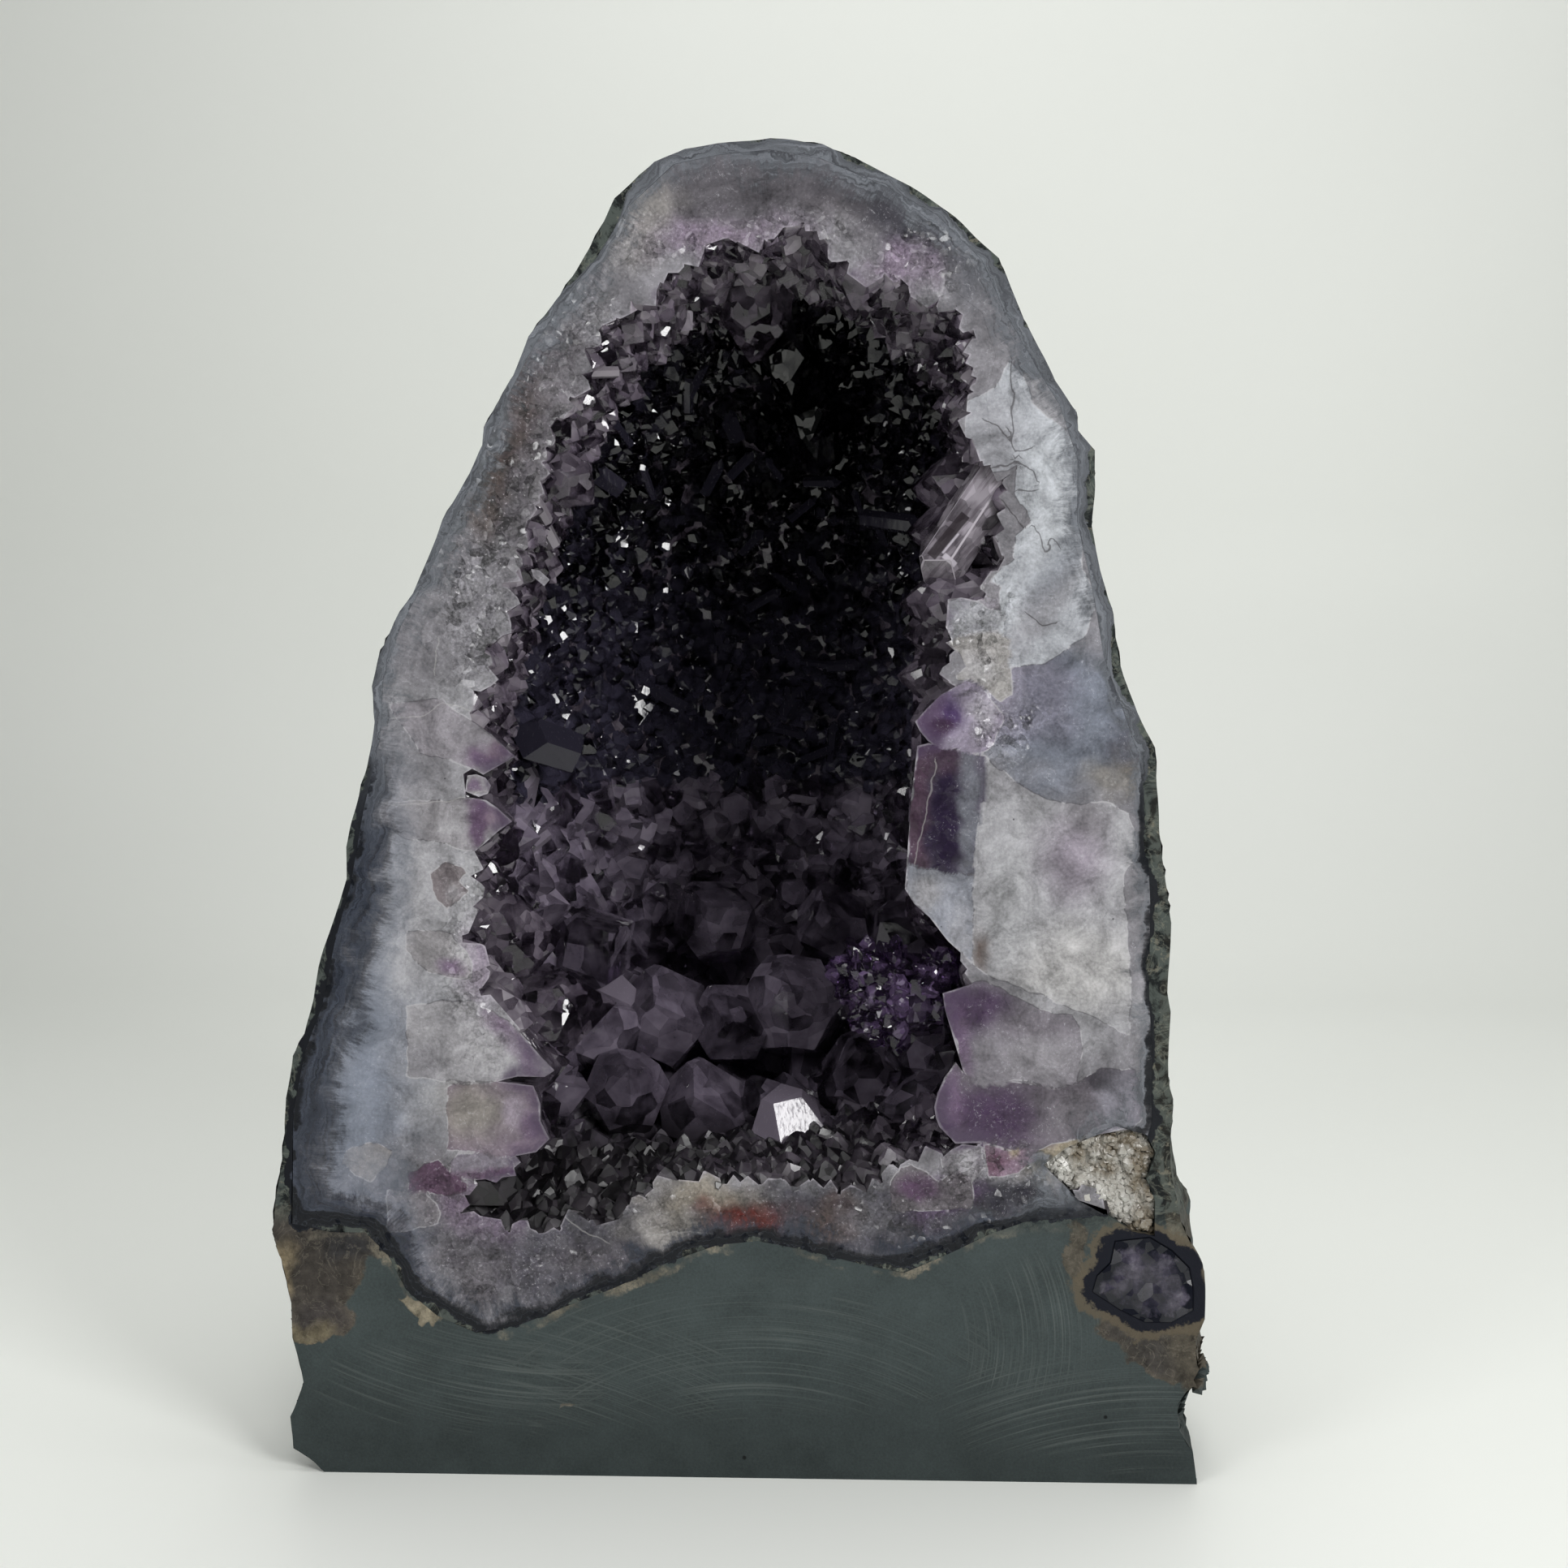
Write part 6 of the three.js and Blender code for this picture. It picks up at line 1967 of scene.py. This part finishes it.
    def groups(self, crystals: list[Crystal]) -> list[list[Crystal]]:
        """Sort the crystals into groups in which none touches another."""
        tree = KDTree(len(crystals))
        middles = [c.root + Vector(c.frame[:, 2]) * c.height * 0.5 for c in crystals]
        for number, middle in enumerate(middles):
            tree.insert(middle, number)
        tree.balance()
        reach = [c.height * 0.5 + c.radius for c in crystals]
        widest = max(reach)
        spines = [c.spine() for c in crystals]
        colours = [-1] * len(crystals)
        order = sorted(range(len(crystals)), key=lambda n: -reach[n])
        for number in order:
            used = set()
            for _, other, away in tree.find_range(middles[number], reach[number] + widest):
                if colours[other] < 0 or away > reach[number] + reach[other]:
                    continue
                gap = np.linalg.norm(spines[number][:, None] - spines[other][None], axis=2).min()
                both = crystals[number].radius + crystals[other].radius
                step = 0.13 * max(crystals[number].height, crystals[other].height)
                if gap < both * 1.12 + step:
                    used.add(colours[other])
            colours[number] = next(c for c in range(len(crystals)) if c not in used)
        found = [[] for _ in range(max(colours) + 1)]
        for number, colour in enumerate(colours):
            found[colour].append(crystals[number])
        LOG.info("groups: %s", [len(g) for g in found])
        return found

    def joined(self, group: list[Crystal], name: str) -> bpy.types.Object:
        """One mesh of the crystals in a group."""
        places, faces, tones, rises, start = [], [], [], [], 0
        for c in group:
            rows, rise = self.points.placed(c)
            own = self.points.faces[c.kind]
            faces += [tuple(start + v for v in face) for face in own]
            tones += [c.tone] * len(own)
            places.append(rows)
            rises.append(rise)
            start += len(rows)
        piece = new_piece(name, np.concatenate(places), faces)
        set_attribute(piece, "tone", np.array(tones), "FACE")
        set_attribute(piece, "rise", np.concatenate(rises), "POINT")
        return piece

    def tidy(self, piece: bpy.types.Object) -> None:
        """Merge the crumbs that the joins leave, and refine the sawn faces."""
        make_active(piece)
        bpy.ops.object.mode_set(mode="EDIT")
        bpy.ops.mesh.select_all(action="SELECT")
        bpy.ops.mesh.dissolve_limited(angle_limit=math.radians(0.4))
        bpy.ops.mesh.remove_doubles(threshold=0.03 * MM)
        bpy.ops.mesh.quads_convert_to_tris()
        bpy.ops.object.mode_set(mode="OBJECT")
        bpy.ops.object.shade_flat()
        refine(piece, on_sawn_face, self.cut_longest * MM, 6)

    def mark(self, piece: bpy.types.Object) -> np.ndarray:
        """Store how clear the quartz is at each point, and give the mask of the sawn faces."""
        places = vertices_of(piece)
        centres, normals = face_facts(piece)
        sawn = on_sawn_face(centres, normals) & (piece.name == Zone.FRONT.value)
        height = np.empty(len(places))
        for number, place in enumerate(places):
            spot, normal, _, away = self.tree.find_nearest(place)
            inside = (Vector(place) - spot).dot(normal) > 0
            height[number] = away / MM if inside else -away / MM
        clear = ease(height, -1.0, 2.0)
        cut = np.abs(places[:, 1] - (FACE_Y + self.cut_behind) * MM) < FACE_TOLERANCE * MM
        from_edge = np.full(len(places), 9.0)
        if cut.any():
            away, _ = nearest(places[cut], edge_line(piece, self.in_hollow))
            from_edge[cut] = away / MM
            clear[cut] = (1 - ease(away / MM, 0.5, 6.5)) * ease(height[cut], 2.0, 7.0)
            paint_sawn_face(piece, (FACE_Y + self.cut_behind) * MM)
        set_attribute(piece, "clear", clear, "POINT")
        set_attribute(piece, "from_edge", from_edge, "POINT")
        return sawn

    def in_hollow(self, middles: np.ndarray, centres: np.ndarray, normals: np.ndarray) -> np.ndarray:
        """The mask of the outline's edges that lie free in the hollow."""
        found = []
        for place in middles:
            spot, normal, _, away = self.tree.find_nearest(place)
            found.append((Vector(place) - spot).dot(normal) > 0 and away > 0.9 * MM)
        return np.array(found)


@dataclass
class DrusyPatch:
    """Sugary quartz in its shallow hole at the lower right."""

    points: QuartzPoints
    seed: int = 21
    count: int = 900
    sizes: tuple[float, float] = (0.45, 1.15)

    def build(self) -> bpy.types.Object:
        """Make the piece."""
        patch = copy_of_node("drusy_patch", "druse")
        centres, normals = face_facts(patch)
        front = normals[:, 1] < -0.3
        places = vertices_of(patch)
        triangles = places[np.array([tuple(p.vertices) for p, f in zip(patch.data.polygons, front) if f])]
        draw = np.random.default_rng(self.seed)
        cross = np.cross(triangles[:, 1] - triangles[:, 0], triangles[:, 2] - triangles[:, 0])
        areas = np.linalg.norm(cross, axis=1)
        faces, spots, start = [], [], 0
        for which in draw.choice(len(triangles), self.count, p=areas / areas.sum()):
            shares = draw.dirichlet((1, 1, 1))
            axis = Vector(cross[which]).normalized() + Vector(draw.normal(0, 0.45, 3))
            radius = draw.uniform(*self.sizes)
            grain = Crystal(
                int(draw.integers(self.points.count)), Vector(shares @ triangles[which]),
                turned_frame(axis.normalized(), draw.uniform(0, math.tau)), radius * MM,
                radius * draw.uniform(0.8, 1.5) * MM,
            )
            rows = self.points.placed(grain)[0]
            faces += [tuple(start + v for v in face) for face in self.points.faces[grain.kind]]
            spots.append(rows)
            start += len(rows)
        spots = np.concatenate(spots)
        spots[:, 1] = np.maximum(spots[:, 1], FACE_Y * MM)
        grains = new_piece("grains", spots, faces)
        make_active(patch)
        grains.select_set(True)
        bpy.ops.object.join()
        finish_piece(patch, [SugaryQuartz().build()], "drusy_patch")
        return patch


@dataclass
class PocketQuartz:
    """The quartz in the small side pocket, sawn flush with the face."""

    def build(self) -> bpy.types.Object:
        """Make the piece."""
        piece = copy_of_node("pocket_quartz", "pocket")
        refine(piece, on_sawn_face, 1.2 * MM, 5)
        line = edge_line(piece, lambda middles, centres, normals: np.ones(len(middles), bool))
        away, _ = nearest(vertices_of(piece), line)
        set_attribute(piece, "from_rock", away / MM, "POINT")
        finish_piece(piece, [SmokyQuartz().build()], "pocket_quartz")
        return piece


@dataclass
class Studio:
    """The camera, the pale floor that curves up into a wall, and soft light."""

    camera_turn: tuple = (85.5, 0.0, 2.0)
    lens: float = 48.447
    wall_at: float = 520.0
    curve: float = 260.0

    def build(self) -> None:
        """Make everything round the stone."""
        self.camera()
        self.floor()
        for name, lamp in LAMPS.items():
            self.light(name, lamp)
        world = bpy.data.worlds.new("room")
        bpy.context.scene.world = world
        world.use_nodes = True
        background = world.node_tree.nodes["Background"]
        background.inputs["Color"].default_value = srgb(232, 238, 236)
        background.inputs["Strength"].default_value = 0.06
        bpy.context.scene.view_settings.view_transform = "Standard"

    def camera(self) -> None:
        """The camera, where the picture was taken from."""
        camera = bpy.data.cameras.new("camera")
        camera.lens = self.lens
        camera.sensor_width = 36
        camera.clip_start = 0.01
        holder = bpy.data.objects.new("camera", camera)
        holder.location = Vector(CAMERA_PLACE) * MM
        holder.rotation_euler = [math.radians(a) for a in self.camera_turn]
        bpy.context.scene.collection.objects.link(holder)
        bpy.context.scene.camera = holder

    def floor(self) -> None:
        """A plain floor that curves up into a plain wall."""
        deselect_all()
        bpy.ops.mesh.primitive_plane_add(size=1, location=(0, 0, 0))
        floor = bpy.context.object
        floor.name = "floor"
        floor.scale = (5, 4, 1)
        bpy.ops.object.transform_apply(location=True, rotation=True, scale=True)
        places = vertices_of(floor)
        back = places[:, 1] > 0
        places[back, 1] = self.wall_at * MM
        places[:, 2] = -0.02 * MM
        set_vertices(floor, places)
        line = edge_facts(floor)[0]
        middles = places[line].mean(axis=1)
        select_edges(floor, middles[:, 1] > self.wall_at * MM * 0.99)
        steps = 14
        for step in range(steps):
            turn = math.pi / 2 * (step + 0.5) / steps
            length = self.curve * math.pi / 2 / steps * MM
            move = (0, math.cos(turn) * length, math.sin(turn) * length)
            bpy.ops.mesh.extrude_region_move(TRANSFORM_OT_translate={"value": move})
        bpy.ops.mesh.extrude_region_move(TRANSFORM_OT_translate={"value": (0, 0, 2.5)})
        bpy.ops.object.mode_set(mode="OBJECT")
        bpy.ops.object.shade_smooth()
        s = Shader("pale_floor")
        tone = s.noise(400, detail=2)
        colour = s.mix(tone, srgb(236, 238, 233), srgb(242, 244, 239))
        s.surface({"Base Color": colour, "Roughness": 0.42, "Specular IOR Level": 0.3})
        floor.data.materials.append(s.material)

    def light(self, name: str, lamp: Lamp) -> None:
        """A soft square light that faces its target."""
        light = bpy.data.lights.new(name, "AREA")
        light.size = lamp.size * MM
        light.energy = lamp.power
        holder = bpy.data.objects.new(name, light)
        holder.location = Vector(lamp.place) * MM
        aim = (Vector(lamp.target) - Vector(lamp.place)).to_track_quat("-Z", "Y")
        holder.rotation_euler = aim.to_euler()
        bpy.context.scene.collection.objects.link(holder)


def corners(box: tuple) -> list[list[float]]:
    """A box's two corners as plain lists of numbers."""
    return [[float(number) for number in corner] for corner in box]


def main() -> None:
    """Build the stone and its surroundings."""
    logging.basicConfig(level=logging.INFO, format="%(name)s: %(message)s")
    Studio().build()
    line = ContactLine()
    line.build()
    BasaltRind(line).build()
    AgateBand(line).build()
    points = QuartzPoints()
    points.build()
    AmethystLining(points, line).build()
    DrusyPatch(points).build()
    PocketQuartz().build()


if __name__ == "__main__":
    main()
